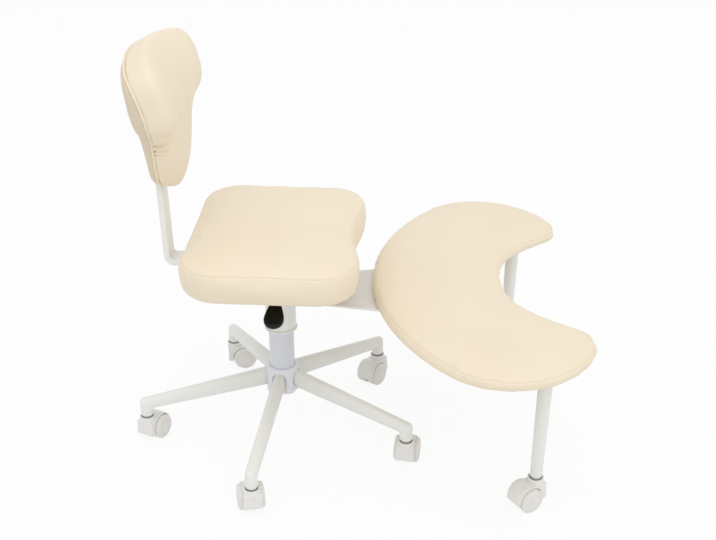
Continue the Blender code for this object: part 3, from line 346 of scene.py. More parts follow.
def legTurn(i):
    return Matrix.Rotation(math.radians(legSize["firstDeg"] + 72 * i), 4, "Z")


def makeLeg():
    # an oval tube that tapers to round, cut off at the mitre
    # its foot is drawn straight down from there, and the mitre eased
    s = legSize
    slope = math.radians(s["slope"])
    start = Vector((s["rootX"], 0.0, s["rootZ"] + (s["hubR"] - s["rootX"]) * math.tan(slope)))
    corner = Vector((s["reach"], 0.0, s["cornerZ"]))
    run = corner - start
    past = 1 + s["spare"] / run.length
    tip = 1 + (s["tipR"] / s["rootR"] - 1) * past
    mitre = (run.normalized() + Vector((0, 0, -1))).normalized()
    clearPick()
    bpy.ops.mesh.primitive_circle_add(vertices=s["sides"], radius=s["rootR"], fill_type="NGON", location=start,
                                      rotation=(0.0, math.pi / 2 + slope, 0.0))
    leg = bpy.context.object
    bpy.ops.object.transform_apply(location=True, rotation=True, scale=True)
    bpy.ops.object.mode_set(mode="EDIT")
    pickAll()
    bpy.ops.transform.resize(value=(1, s["wide"], s["tall"]), center_override=tuple(start))
    bpy.ops.mesh.extrude_region_move(TRANSFORM_OT_translate={"value": tuple(run * past)})
    bpy.ops.transform.resize(value=(tip, tip / s["wide"], tip / s["tall"]),
                             center_override=tuple(start + run * past))
    pickAll()
    bpy.ops.mesh.bisect(plane_co=corner, plane_no=mitre, clear_outer=True, use_fill=True)
    bpy.ops.mesh.extrude_region_move(TRANSFORM_OT_translate={"value": (0, 0, s["foot"] - s["cornerZ"])})
    bpy.ops.transform.resize(value=(1, 1, 0), center_override=(s["reach"], 0, s["foot"]))
    bpy.ops.mesh.inset(thickness=s["wall"])  # the open end of the tube round the caster's stem
    bpy.ops.mesh.extrude_region_move(TRANSFORM_OT_translate={"value": (0, 0, s["bore"])})
    bpy.ops.mesh.select_all(action="DESELECT")
    work = bmesh.from_edit_mesh(leg.data)
    for v in work.verts:
        v.select = abs((v.co - corner).dot(mitre)) < 0.0001
    work.select_flush(True)
    bmesh.update_edit_mesh(leg.data)
    bpy.ops.mesh.bevel(offset=s["ease"], segments=s["easeSteps"], affect="EDGES")
    facesOut()
    roundEdges(leg, s["edge"], 2, 50)
    return leg


legModel = makeLeg()
for i in range(5):
    leg = copyAt(legModel, f"leg_tube_{i + 1}", columnSpot @ legTurn(i))
    paintSteel(leg, "base", [f"base_leg_{i + 1}"])
drop(legModel)

hubSize = {"bore": 0.0253, "outer": 0.0318, "foot": 0.1045, "top": 0.1420, "edge": 0.001}
hub = lathe("hub_ring", [(hubSize["bore"], hubSize["top"]), (hubSize["outer"], hubSize["top"]),
                         (hubSize["outer"], hubSize["foot"]), (hubSize["bore"], hubSize["foot"]),
                         (hubSize["bore"], hubSize["top"])])
roundEdges(hub, hubSize["edge"])
hub.data.transform(columnSpot)
paintSteel(hub, "base", ["base_hub"])

# weld beads where each leg meets the hub, only seen from below
beadSize = {"thick": 0.0014, "sides": 36, "roundSides": 8, "proud": 0.0002, "wrap": 0.7}
clearPick()
bpy.ops.mesh.primitive_torus_add(major_segments=beadSize["sides"], minor_segments=beadSize["roundSides"],
                                 major_radius=legSize["rootR"] + beadSize["proud"],
                                 minor_radius=beadSize["thick"])
beadModel = bpy.context.object
lean = math.tan(math.radians(legSize["slope"]))
for v in beadModel.data.vertices:  # the ring is made oval and drawn onto the round hub
    v.co.x, v.co.y = v.co.x * legSize["tall"], v.co.y * legSize["wide"]
    wrapped = min(abs(v.co.y), hubSize["outer"] * beadSize["wrap"])
    v.co = Vector((math.sqrt(hubSize["outer"] ** 2 - wrapped ** 2) + v.co.z, v.co.y, legSize["rootZ"] + v.co.x))
    v.co.z += (hubSize["outer"] - v.co.x) * lean
for i in range(5):
    bead = copyAt(beadModel, f"leg_weld_{i + 1}", columnSpot @ legTurn(i))
    editAll(bead)
    facesOut()
    paintSteel(bead, "base", smooth=80)
drop(beadModel)

# the cap over the hub, its skirt slotted from below for the legs
capSize = {"rise": 0.027, "drop": 0.028, "skirtR": 0.036, "neckR": 0.0273, "bore": 0.0253, "wall": 0.002,
           "steps": 16, "gap": 0.0015, "near": 0.018, "far": 0.072, "spare": 0.01, "archSteps": 24,
           "edge": 0.0006}


def makeCap():
    s = capSize
    outer = []
    for i in range(s["steps"] + 1):
        turn = i / s["steps"] * math.pi / 2
        outer.append((s["neckR"] + (s["skirtR"] - s["neckR"]) * math.sin(turn),
                      legSize["rootZ"] + s["rise"] * math.cos(turn)))
    inner = [(r - s["wall"], z - s["wall"]) for r, z in outer[1:]]
    rim = [(s["skirtR"], legSize["rootZ"] - s["drop"]), (s["skirtR"] - s["wall"], legSize["rootZ"] - s["drop"])]
    throat = [(s["bore"], inner[0][1]), (s["bore"], outer[0][1])]
    cap = lathe("hub_cap", [*outer, *rim, *inner[::-1], *throat, outer[0]], 80)
    half, low = legSize["rootR"] * legSize["wide"] + s["gap"], legSize["rootZ"] - s["drop"] - s["spare"]
    tall = legSize["rootR"] * legSize["tall"] + s["gap"]
    lean = math.tan(math.radians(legSize["slope"]))
    arch = [math.pi * k / s["archSteps"] for k in range(s["archSteps"] + 1)]
    outline = [(half * math.cos(a), legSize["rootZ"] + tall * math.sin(a)) for a in arch]
    outline = [(half, low), *outline, (-half, low)]
    points = [(s["near"], y, z + (legSize["hubR"] - s["near"]) * lean) for y, z in outline]
    reach = s["far"] - s["near"]
    slot = drawOut("slot", points, (reach, 0, -reach * lean))
    bpy.ops.object.mode_set(mode="OBJECT")
    for i in range(5):
        cutter = copyAt(slot, "cutter", legTurn(i))
        applyModifier(cap, "BOOLEAN", operation="DIFFERENCE", solver="EXACT", object=cutter)
        drop(cutter)
    drop(slot)
    return cap


cap = makeCap()
roundEdges(cap, capSize["edge"], 2, 45)
cap.data.transform(columnSpot)
settle(cap, "base", capPlastic, ["base_cover"], smooth=35)
print("base made")


# column, gas lift and the footrest's sleeve

columnTube = {"r": 0.025, "wall": 0.002, "foot": 0.1005, "floor": 0.003, "top": 0.3425, "edge": 0.0008}
tubeBore, tubeFloor = columnTube["r"] - columnTube["wall"], columnTube["foot"] + columnTube["floor"]
tube = lathe("column_tube", [(0.0, columnTube["foot"]), (columnTube["r"], columnTube["foot"]),
                             (columnTube["r"], columnTube["top"]), (tubeBore, columnTube["top"]),
                             (tubeBore, tubeFloor), (0.0, tubeFloor)])
roundEdges(tube, columnTube["edge"])
tube.data.transform(columnSpot)
settle(tube, "base", columnPaint, ["gas_lift_outer_tube"])

bushSize = {"bore": 0.0143, "r": 0.0227, "foot": 0.2880, "flangeR": 0.0250, "flangeFoot": 0.3428,
            "edgeZ": 0.3452, "edgeR": 0.0248, "top": 0.3458, "edge": 0.0004}
bush = lathe("lift_guide", [(bushSize["bore"], bushSize["top"]), (bushSize["edgeR"], bushSize["top"]),
                            (bushSize["flangeR"], bushSize["edgeZ"]), (bushSize["flangeR"], bushSize["flangeFoot"]),
                            (bushSize["r"], bushSize["flangeFoot"]), (bushSize["r"], bushSize["foot"]),
                            (bushSize["bore"], bushSize["foot"]), (bushSize["bore"], bushSize["top"])])
roundEdges(bush, bushSize["edge"])
bush.data.transform(columnSpot)
settle(bush, "base", bearingNylon, ["gas_lift_guide_bush"])

# the profile starts inside the mouth round the release button and ends under the cylinder's roof
liftSize = {"mouthR": 0.0078, "mouthDeep": 0.0098, "topR": 0.0132, "chamfer": 0.0014, "r": 0.0140, "bore": 0.0115,
            "roof": 0.03}
lowEnd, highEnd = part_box("gas_lift_cylinder")
liftTop, liftFoot = highEnd.z, lowEnd.z
cylinder = lathe("lift_cylinder", [(liftSize["mouthR"], liftTop - liftSize["mouthDeep"]),
                                   (liftSize["mouthR"], liftTop), (liftSize["topR"], liftTop),
                                   (liftSize["r"], liftTop - liftSize["chamfer"]), (liftSize["r"], liftFoot),
                                   (liftSize["bore"], liftFoot), (liftSize["bore"], liftTop - liftSize["roof"]),
                                   (0.0, liftTop - liftSize["roof"])])
cylinder.data.transform(columnSpot)
settle(cylinder, "lift", hardChrome, ["gas_lift_cylinder"])

sleeveSize = {"wall": 0.0022, "band": 0.006, "edge": 0.0006}
sleeveLow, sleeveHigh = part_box("stool_sleeve")
sleeveR = (sleeveHigh.x - sleeveLow.x) / 2
sleeveBore = sleeveR - sleeveSize["wall"]
sleeve = lathe("swing_sleeve", [(sleeveBore, sleeveHigh.z), (sleeveR, sleeveHigh.z),
                                (sleeveR, sleeveLow.z + sleeveSize["band"]), (sleeveR, sleeveLow.z),
                                (sleeveBore, sleeveLow.z), (sleeveBore, sleeveHigh.z)])
roundEdges(sleeve, sleeveSize["edge"])
sleeve.data.transform(columnSpot)
paintSteel(sleeve, "footrest", ["stool_sleeve"])

# fillet weld under the arm plate, measured out from the sleeve and up from its top
weldShape = [(-0.0004, 0.0001), (0.0036, 0.0001), (0.0028, -0.0013), (0.0013, -0.0027), (-0.0004, -0.0036),
             (-0.0004, 0.0001)]
bead = lathe("sleeve_weld", [(sleeveR + r, sleeveHigh.z + z) for r, z in weldShape])
bead.data.transform(columnSpot)
paintSteel(bead, "footrest", smooth=80)

collarSize = {"bore": 0.0253, "flat": 0.0015, "shoulder": (0.0004, 0.0008), "side": 0.0020, "chamfer": 0.0010}
collarLow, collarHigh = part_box("stool_stop_collar")
collarR = (collarHigh.x - collarLow.x) / 2
shoulderIn, shoulderDown = collarSize["shoulder"]
collar = lathe("stop_collar", [(collarSize["bore"], collarHigh.z), (collarR - collarSize["flat"], collarHigh.z),
                               (collarR - shoulderIn, collarHigh.z - shoulderDown),
                               (collarR, collarHigh.z - collarSize["side"]),
                               (collarR, collarLow.z + collarSize["chamfer"]),
                               (collarR - collarSize["chamfer"], collarLow.z),
                               (collarSize["bore"], collarLow.z), (collarSize["bore"], collarHigh.z)])
collar.data.transform(columnSpot)
paintSteel(collar, "base", ["stool_stop_collar"])
print("column made")


# screws

# the dome is given as shares of the radius and of the height
screwSize = {"r": 0.0052, "height": 0.0028, "cross": 0.0028, "slot": 0.0007, "recess": 0.9, "firstDeg": 20,
             "dome": [(0.45, 0.97), (0.8, 0.75), (0.97, 0.4)], "lift": 0.0001, "turn": 0.7}


def makeScrew():
    # pan head looking down, with a cross recess
    s = screwSize
    dome = [(s["r"] * out, -s["height"] * down) for out, down in s["dome"]]
    screw = lathe("screw", [(0.0, -s["height"]), *dome, (s["r"], 0.0), (0.0, 0.0)], 24)
    for k in range(2):
        clearPick()
        bpy.ops.mesh.primitive_cube_add(size=1.0, location=(0, 0, -s["height"]),
                                        rotation=(0, 0, math.radians(s["firstDeg"] + 90 * k)))
        bit = bpy.context.object
        bit.scale = (2 * s["cross"], 2 * s["slot"], s["height"] * s["recess"])
        bpy.ops.object.transform_apply(location=True, rotation=True, scale=True)
        applyModifier(screw, "BOOLEAN", operation="DIFFERENCE", solver="EXACT", object=bit)
        drop(bit)
    return screw


screwModel = makeScrew()


def addScrews(name, body, spots):
    for i, spot in enumerate(spots):
        turn = Matrix.Rotation(screwSize["turn"] * i, 4, "Z")
        screw = copyAt(screwModel, f"{name}_{i + 1}", spot @ turn)
        settle(screw, body, zincSteel, smooth=45)


# footrest arm and legs

armLook = {"edge": 0.0006,
           "screws": ((0.225, 0.045), (0.225, -0.045), (0.305, 0.082), (0.305, -0.082), (0.305, 0.0))}
arm = copyOfNode("stool_arm", "arm_plate")
dissolveFlats(arm)
roundEdges(arm, armLook["edge"], 2, 30)
paintSteel(arm, "footrest", ["stool_arm"], smooth=30)
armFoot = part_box("stool_arm")[0].z
addScrews("arm_screw", "footrest", [columnSpot @ Matrix.Translation((x, y, armFoot - screwSize["lift"]))
                                    for x, y in armLook["screws"]])

legPost = {"topR": 0.014, "footR": 0.0115, "foot": 0.066, "wall": 0.0055, "deep": 0.02, "x": 0.49, "y": 0.243,
           "flangeR": 0.03, "edge": 0.0006, "weldOut": 0.003, "weldIn": 0.0002, "weldDown": 0.0028, "dish": 0.0005,
           "screwR": 0.0232, "screwDeg": 30, "screwScale": 0.8}
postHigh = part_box("stool_leg_left")[1]
flangeLow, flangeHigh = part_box("stool_leg_flange_left")
postModel = lathe("post", [(0.0, postHigh.z), (legPost["topR"], postHigh.z), (legPost["footR"], legPost["foot"]),
                           (legPost["wall"], legPost["foot"]), (legPost["wall"], legPost["foot"] + legPost["deep"]),
                           (0.0, legPost["foot"] + legPost["deep"])], 48)
roundEdges(postModel, legPost["edge"])
flangeModel = lathe("flange", [(0.0, flangeHigh.z), (legPost["flangeR"], flangeHigh.z),
                               (legPost["flangeR"], flangeLow.z),
                               (legPost["topR"] + legPost["weldOut"], flangeLow.z),
                               (legPost["topR"] - legPost["weldIn"], flangeLow.z - legPost["weldDown"]),
                               (0.0, flangeLow.z - legPost["dish"])], 64)
roundEdges(flangeModel, legPost["edge"])
for label, side in (("left", 1), ("right", -1)):
    spot = columnSpot @ Matrix.Translation((legPost["x"], side * legPost["y"], 0.0))
    paintSteel(copyAt(postModel, f"leg_post_{label}", spot), "footrest", [f"stool_leg_{label}"])
    paintSteel(copyAt(flangeModel, f"leg_flange_{label}", spot), "footrest", [f"stool_leg_flange_{label}"])
    addScrews(f"flange_screw_{label}", "footrest",
              [spot @ Matrix.Rotation(math.radians(legPost["screwDeg"] + 120 * k), 4, "Z")
               @ Matrix.Translation((legPost["screwR"], 0.0, flangeLow.z - screwSize["lift"]))
               @ Matrix.Scale(legPost["screwScale"], 4) for k in range(3)])
drop(postModel)
drop(flangeModel)
print("footrest frame made")


# casters

casterSize = {"trail": 0.0225, "axleZ": 0.025, "web": 0.003, "play": 0.0005,
              "half": 0.0195, "taper": 0.16, "front": 0.0145, "foot": 0.020, "webFoot": 0.016,
              "archR": 0.0288, "wellR": 0.0262, "rearDeg": -12, "topDeg": 108, "archSteps": 30,
              "bossR": 0.0155, "bossDepth": 0.016, "bossTop": 0.0614, "seat": 0.0564, "recessR": 0.0125,
              "wellCut": 0.03, "axleBore": 0.0038, "axleCut": 0.1, "recessCut": 0.02,
              "stemBore": 0.0053, "stemCut": 0.04, "stemDeep": 0.0098,
              "hoodEdge": 0.0016, "bossEdge": 0.0009, "cutEdge": 0.0004}


def makeHood():
    s = casterSize
    arch = []
    for i in range(s["archSteps"] + 1):
        turn = math.radians(s["rearDeg"] + (s["topDeg"] - s["rearDeg"]) * i / s["archSteps"])
        arch.append((s["trail"] + s["archR"] * math.cos(turn), s["axleZ"] + s["archR"] * math.sin(turn)))
    shoulder = arch[-1][1]
    outline = [(-s["front"], s["foot"]), (s["trail"], s["webFoot"]), *arch, (-s["front"], shoulder)]
    points = [(x, s["half"], z) for x, z in outline]
    hood = drawOut("hood", points, (0, -2 * s["half"], 0))
    work = bmesh.from_edit_mesh(hood.data)
    for v in work.verts:  # the sides draw in towards the top
        v.co.y *= 1 - s["taper"] * (v.co.z - s["foot"]) / (shoulder - s["foot"])
    bmesh.update_edit_mesh(hood.data)
    bpy.ops.object.mode_set(mode="OBJECT")
    roundEdges(hood, s["hoodEdge"], 3, 40)

    def carve(operation, radius, depth, place, rotation=(0, 0, 0), sides=64):
        clearPick()
        bpy.ops.mesh.primitive_cylinder_add(vertices=sides, radius=radius, depth=depth, location=place,
                                            rotation=rotation)
        tool = bpy.context.object
        bpy.ops.object.transform_apply(location=True, rotation=True, scale=True)
        if operation == "UNION":
            roundEdges(tool, s["bossEdge"], 3, 40)
        applyModifier(hood, "BOOLEAN", operation=operation, solver="EXACT", object=tool)
        drop(tool)

    carve("UNION", s["bossR"], s["bossDepth"], (0, 0, s["bossTop"] - s["bossDepth"] / 2))
    side = (math.pi / 2, 0, 0)
    for y in (-1, 1):
        well = (s["trail"], y * (s["web"] + s["wellCut"] / 2), s["axleZ"])
        carve("DIFFERENCE", s["wellR"], s["wellCut"], well, side, 72)
    carve("DIFFERENCE", s["axleBore"], s["axleCut"], (s["trail"], 0, s["axleZ"]), side, 24)
    carve("DIFFERENCE", s["recessR"], s["recessCut"], (0, 0, s["seat"] + s["recessCut"] / 2), sides=48)
    carve("DIFFERENCE", s["stemBore"], s["stemCut"], (0, 0, s["seat"] - s["stemDeep"] + s["stemCut"] / 2), sides=24)
    roundEdges(hood, s["cutEdge"], 2, 50)
    return hood


# radius and distance out: a domed cap with a shallow ring, a rounded shoulder and a flat tread
# the left wheel carries the axle, and the right wheel has the bore for it
wheelShape = {"side": [(0.0, 0.02250), (0.0075, 0.02240), (0.0140, 0.02205), (0.0146, 0.02150), (0.0152, 0.02120),
                       (0.0160, 0.02120), (0.0166, 0.02150), (0.0174, 0.02175), (0.0208, 0.02150), (0.0228, 0.02085),
                       (0.0241, 0.01970), (0.0248, 0.01820), (0.0250, 0.01650), (0.0250, 0.0010), (0.0246, 0.0002),
                       (0.0240, 0.0)],
              "left": [(0.0035, 0.0), (0.0035, -0.019), (0.0, -0.019)],
              "right": [(0.0038, 0.0), (0.0038, 0.0125), (0.0, 0.0125)]}

# radius and height: a pin in the leg, a collar under it, and the end that holds the hood
stemShape = [(0.0, 0.0880), (0.0045, 0.0880), (0.0055, 0.0870), (0.0055, 0.0657), (0.0108, 0.0657),
             (0.0112, 0.0653), (0.0112, 0.0571), (0.0108, 0.0567), (0.0050, 0.0567), (0.0050, 0.0469), (0.0, 0.0469)]

hoodModel, stemModel = makeHood(), lathe("stem", stemShape, 40)
wheelModels = {side: lathe("wheel", wheelShape["side"] + wheelShape[side], 72) for side in ("left", "right")}
for label in casterLabels:
    pivot, axle = jointAt[f"caster_swivel_{label}"], jointAt[f"wheel_roll_{label}"]
    yaw = math.atan2(axle.y - pivot.y, axle.x - pivot.x)
    spot = Matrix.Translation((pivot.x, pivot.y, 0.0)) @ Matrix.Rotation(yaw, 4, "Z")
    settle(copyAt(hoodModel, f"caster_fork_{label}", spot), f"caster_{label}", hoodNylon,
           [f"caster_hood_{label}"], smooth=38)
    carrier = "footrest" if label.startswith("stool") else "base"
    settle(copyAt(stemModel, f"stem_pin_{label}", spot), carrier, zincSteel, [f"caster_stem_{label}"])
    for side, sign in (("left", 1), ("right", -1)):
        place = spot @ Matrix.Translation((casterSize["trail"], sign * (casterSize["web"] + casterSize["play"]),
                                           casterSize["axleZ"])) @ Matrix.Rotation(-sign * math.pi / 2, 4, "X")
        settle(copyAt(wheelModels[side], f"roller_{side}_{label}", place), f"wheels_{label}", wheelNylon,
               [f"caster_wheel_{side}_{label}"], smooth=35)
for model in (hoodModel, stemModel, *wheelModels.values()):
    drop(model)
print("casters made")


# seat tray, back bar and lever

trayLook = {"edge": 0.0007, "screwX": 0.067, "screwY": 0.056, "screwDrop": 0.0031}
tray = copyOfNode("seat_tray", "tray_pressing")
dissolveFlats(tray)
roundEdges(tray, trayLook["edge"], 2, 25)
paintSteel(tray, "seat", ["seat_tray"], smooth=30)
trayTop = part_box("seat_tray")[1].z
addScrews("tray_screw", "seat", [seatSpot @ Matrix.Translation((x, y, trayTop - trayLook["screwDrop"]))
                                 for x in (-trayLook["screwX"], trayLook["screwX"])
                                 for y in (-trayLook["screwY"], trayLook["screwY"])])

barSize = {"width": 0.044, "thick": 0.0115, "front": -0.061, "top": 0.3995, "bend": 0.008, "lean": 1.2,
           "reach": 0.2110, "footZ": 0.5555, "rise": 0.085, "steps": 16, "edge": 0.0018,
           "screwX": -0.0715, "screwY": 0.011}


def makeBar():
    # flat bar: along under the seat, round the bend, up into the back
    s = barSize
    lean = math.radians(s["lean"])
    bendZ = s["top"] + s["bend"]
    bendX = -s["reach"] + (s["bend"] - (bendZ - s["footZ"]) * math.sin(lean)) / math.cos(lean)
    clearPick()
    bpy.ops.mesh.primitive_plane_add(size=1.0, location=(s["front"], 0, s["top"] - s["thick"] / 2),
                                     rotation=(0, -math.pi / 2, 0))
    bar = bpy.context.object
    bar.name = "back_bar_strip"
    bar.scale = (s["thick"], s["width"], 1.0)
    bpy.ops.object.transform_apply(location=True, rotation=True, scale=True)
    bpy.ops.object.mode_set(mode="EDIT")
    pickAll()
    bpy.ops.mesh.extrude_region_move(TRANSFORM_OT_translate={"value": (bendX - s["front"], 0, 0)})
    bpy.ops.mesh.spin(steps=s["steps"], angle=lean - math.pi / 2, center=(bendX, 0, bendZ), axis=(0, 1, 0))
    length = (s["footZ"] - bendZ) / math.cos(lean) + s["rise"]
    bpy.ops.mesh.extrude_region_move(
        TRANSFORM_OT_translate={"value": (-length * math.sin(lean), 0, length * math.cos(lean))})
    facesOut()
    roundEdges(bar, s["edge"], 3, 40)
    return bar


bar = makeBar()
bar.data.transform(seatSpot)
paintSteel(bar, "seat", ["back_bar"])
barFoot = barSize["top"] - barSize["thick"]
addScrews("bar_screw", "seat", [seatSpot @ Matrix.Translation((barSize["screwX"], y, barFoot - screwSize["lift"]))
                                for y in (-barSize["screwY"], barSize["screwY"])])
drop(screwModel)

paddleSize = {"voxel": 0.0009, "smooth": 14}
paddle = copyOfNode("lever_knob", "lever_paddle")
applyModifier(paddle, "REMESH", mode="VOXEL", voxel_size=paddleSize["voxel"])
applyModifier(paddle, "SMOOTH", factor=0.5, iterations=paddleSize["smooth"])
settle(paddle, "lever", paddlePlastic, ["lever_knob"], smooth=80)

shaft = copyOfNode("lever_rod", "lever_shaft")
dissolveFlats(shaft)
settle(shaft, "lever", zincSteel, ["lever_rod"], smooth=45)
print("tray, bar and lever made")


# cushions

def vertexArrays(obj):
    count = len(obj.data.vertices)
    co, no = np.empty(count * 3), np.empty(count * 3)
    obj.data.vertices.foreach_get("co", co)
    obj.data.vertices.foreach_get("normal", no)
    return co.reshape(-1, 3), no.reshape(-1, 3)


def setVertices(obj, co):
    obj.data.vertices.foreach_set("co", co.ravel())
    obj.data.update()


def easeShape(obj, rounds):
    # smoothing in pairs of passes, the second giving back what the first shrinks
    for _ in range(rounds):
        applyModifier(obj, "SMOOTH", factor=0.5, iterations=1)
        applyModifier(obj, "SMOOTH", factor=-0.52, iterations=1)


def softenAway(pad, heldSpots, soften):
    # plain smoothing that grows with the distance from the held side
    tree = kdtree.KDTree(len(heldSpots))
    for i, spot in enumerate(heldSpots):
        tree.insert(spot, i)
    tree.balance()
    loose = pad.vertex_groups.new(name="loose")
    for v in pad.data.vertices:
        share = (tree.find(v.co)[2] - soften["near"]) / (soften["far"] - soften["near"])
        loose.add([v.index], min(max(share, 0.0), 1.0), "REPLACE")
    applyModifier(pad, "SMOOTH", factor=0.5, iterations=soften["rounds"], vertex_group="loose")


def evenOut(obj, move, rounds):
    # each vertex's move averaged with its neighbours'
    ends = np.empty(len(obj.data.edges) * 2, dtype=np.int32)
    obj.data.edges.foreach_get("vertices", ends)
    a, b, count = ends[0::2], ends[1::2], len(move)
    degree = np.bincount(ends, minlength=count)[:, None]
    for _ in range(rounds):
        near = [np.bincount(a, move[b, k], count) + np.bincount(b, move[a, k], count) for k in range(3)]
        move = 0.5 * move + 0.5 * np.stack(near, axis=1) / degree
    return move


# how every pad is held, blown up as cloth, and kept from swelling too far
stuffing = {"heldFrom": 0.55, "freeTo": 0.5, "freeOver": 0.4, "evenRounds": 8, "frames": 20, "quality": 6,
            "mass": 0.3, "air": 3.0, "damping": 15.0, "pressure": 2.0, "stretch": 40.0, "bend": 4.0, "cap": 0.003}


def stuffPad(node, name, look):
    # the solid's form remeshed, eased and made fuller, then blown up as cloth with its underside held
    pad = copyOfNode(node, name)
    applyModifier(pad, "REMESH", mode="VOXEL", voxel_size=look["voxel"])
    easeShape(pad, look["smooth"])
    applyModifier(pad, "SMOOTH", factor=0.5, iterations=look["plan"], use_z=False)
    co, no = vertexArrays(pad)
    under = no @ np.array(look["under"]) > stuffing["heldFrom"]
    if "soften" in look:
        softenAway(pad, co[under], look["soften"])
        co, no = vertexArrays(pad)
    upward = no[:, 2]
    grow = look["fuller"] + look["side"] * (1 - np.abs(upward)) + look["low"] * np.clip(-upward, 0, 1)
    facing = no @ np.array(look["under"])
    free = 1 - np.clip((facing - stuffing["freeTo"]) / stuffing["freeOver"], 0, 1)
    move = no * (free * grow)[:, None]
    if "drop" in look:
        move[:, 2] -= look["drop"] * free * np.clip((look["seam"] - co[:, 2]) / look["tuck"], 0, 1)
    setVertices(pad, co + evenOut(pad, move, stuffing["evenRounds"]))
    start, _ = vertexArrays(pad)
    held = pad.vertex_groups.new(name="held")
    held.add([int(i) for i in np.nonzero(under)[0]], 1.0, "REPLACE")
    cloth = pad.modifiers.new("stuffing", "CLOTH")
    cloth.settings.quality = stuffing["quality"]
    cloth.settings.mass = stuffing["mass"]
    cloth.settings.air_damping = stuffing["air"]
    cloth.settings.tension_stiffness = cloth.settings.compression_stiffness = stuffing["stretch"]
    cloth.settings.shear_stiffness = stuffing["stretch"] / 3
    cloth.settings.bending_stiffness = stuffing["bend"]
    cloth.settings.tension_damping = cloth.settings.compression_damping = stuffing["damping"]
    cloth.settings.use_pressure = True
    cloth.settings.uniform_pressure_force = stuffing["pressure"]
    cloth.settings.effector_weights.gravity = 0.0
    cloth.settings.vertex_group_mass = "held"
    cloth.point_cache.frame_start, cloth.point_cache.frame_end = 1, stuffing["frames"]
    for step in range(1, stuffing["frames"] + 1):
        bpy.context.scene.frame_set(step)
    blown = pad.evaluated_get(bpy.context.evaluated_depsgraph_get())
    co = np.empty(len(pad.data.vertices) * 3)
    blown.data.vertices.foreach_get("co", co)
    pad.modifiers.remove(cloth)
    bpy.context.scene.frame_set(1)
    move = co.reshape(-1, 3) - start
    far = np.linalg.norm(move, axis=1)
    move *= np.minimum(1.0, stuffing["cap"] / np.maximum(far, 1e-9))[:, None]
    setVertices(pad, start + move)
    print(name, "swelled by up to", round(float(far.max()) * 1000, 1), "mm")
    applyModifier(pad, "SMOOTH", factor=0.5, iterations=look["settle"])
    applyModifier(pad, "SUBSURF", levels=1, render_levels=1)
    return pad


# in mm from the seam: the rings cut, and the lips that swell on both sides of it
seamShape = {"rings": (-4.2, 4.2, -2.8, 2.8, -1.9, 1.9, -1.2, 1.2, -0.6, 0.6, 0), "lipAt": 3.6, "lipWide": 2.2,
             "steep": 1.25}


def sewSeam(pad, look):
    # rings cut round the pad at the seam, the hide pulled in along it, and a cord laid in the groove
    holdOnly(pad)
    bpy.ops.object.mode_set(mode="EDIT")
    for k in seamShape["rings"]:
        pickAll()
        bpy.ops.mesh.bisect(plane_co=(0, 0, look["seam"] + k / 1000), plane_no=(0, 0, 1))
    bpy.ops.object.vertex_group_assign_new()
    bpy.ops.object.mode_set(mode="OBJECT")
    co, no = vertexArrays(pad)
    away = (co[:, 2] - look["seam"]) * 1000
    steep = np.clip(seamShape["steep"] - seamShape["steep"] * np.abs(no[:, 2]) ** 2, 0, 1)
    pull = -look["deep"] * np.exp(-(away / look["wide"]) ** 2)
    above, below = ((away - side * seamShape["lipAt"]) / seamShape["lipWide"] for side in (1, -1))
    swell = look["lip"] * (np.exp(-above ** 2) + np.exp(-below ** 2))
    setVertices(pad, co + no * ((pull + swell) / 1000 * steep)[:, None])
    bpy.ops.object.mode_set(mode="EDIT")
    bpy.ops.mesh.select_all(action="DESELECT")
    bpy.ops.object.vertex_group_select()
    bpy.ops.mesh.duplicate()
    bpy.ops.mesh.separate(type="SELECTED")
    bpy.ops.object.mode_set(mode="OBJECT")
    cord = [obj for obj in bpy.context.selected_objects if obj != pad][0]
    cord.name = pad.name + "_seam"
    return roundCord(cord, look["cord"])


def roundCord(obj, radius):
    # a run of edges turned into a round cord
    holdOnly(obj)
    bpy.ops.object.convert(target="CURVE")
    obj = bpy.context.object
    obj.data.bevel_depth = radius
    obj.data.bevel_resolution = 3
    obj.data.use_fill_caps = True
    bpy.ops.object.convert(target="MESH")
    return bpy.context.object


# smoothing in all directions, then in plan only; how much fuller the faces, sides and lower lip get; and the seam
seatLook = {"voxel": 0.0045, "smooth": 8, "plan": 10, "under": (0, 0, -1),
            "fuller": 0.0006, "side": 0.0035, "low": 0.0060, "drop": 0.0050, "tuck": 0.045, "settle": 4,
            "seam": 0.4617, "deep": 0.9, "wide": 1.3, "lip": 0.5, "cord": 0.0008}
seatPad = stuffPad("seat_cushion", "seat_pad", seatLook)
# the seam cord is coloured with painted groove shade
settle(sewSeam(seatPad, seatLook), "seat", seamCordPaintedShade, smooth=80)
settle(seatPad, "seat", fauxLeather, ["seat_cushion"], smooth=80)
print("seat pad made:", len(seatPad.data.polygons), "faces")

restLook = {"voxel": 0.0049, "smooth": 8, "plan": 16, "under": (0, 0, -1),
            "fuller": 0.0006, "side": 0.0085, "low": 0.0050, "drop": 0.0030, "tuck": 0.020, "settle": 4,
            "seam": 0.3556, "deep": 0.9, "wide": 1.3, "lip": 0.4, "cord": 0.0008}
lobes = {"x": 0.425, "y": 0.222, "from": 0.08, "to": 0.13, "turn": 52.0, "pull": 0.0110}


def trimLobes(pad):
    # the two lobes round off a little more on their outer front
    co, _ = vertexArrays(pad)
    for side in (1, -1):
        spot = columnSpot @ Vector((lobes["x"], side * lobes["y"], 0.0))
        out = co[:, :2] - np.array([spot.x, spot.y])
        far = np.linalg.norm(out, axis=1)
        turn = math.radians(side * lobes["turn"])
        facing = out @ np.array([math.cos(turn), math.sin(turn)]) / np.maximum(far, 1e-6)
        share = np.clip((far - lobes["from"]) / (lobes["to"] - lobes["from"]), 0, 1) * np.clip(facing, 0, 1) ** 2
        co[:, :2] -= out / np.maximum(far, 1e-6)[:, None] * (lobes["pull"] * share)[:, None]
    setVertices(pad, co)


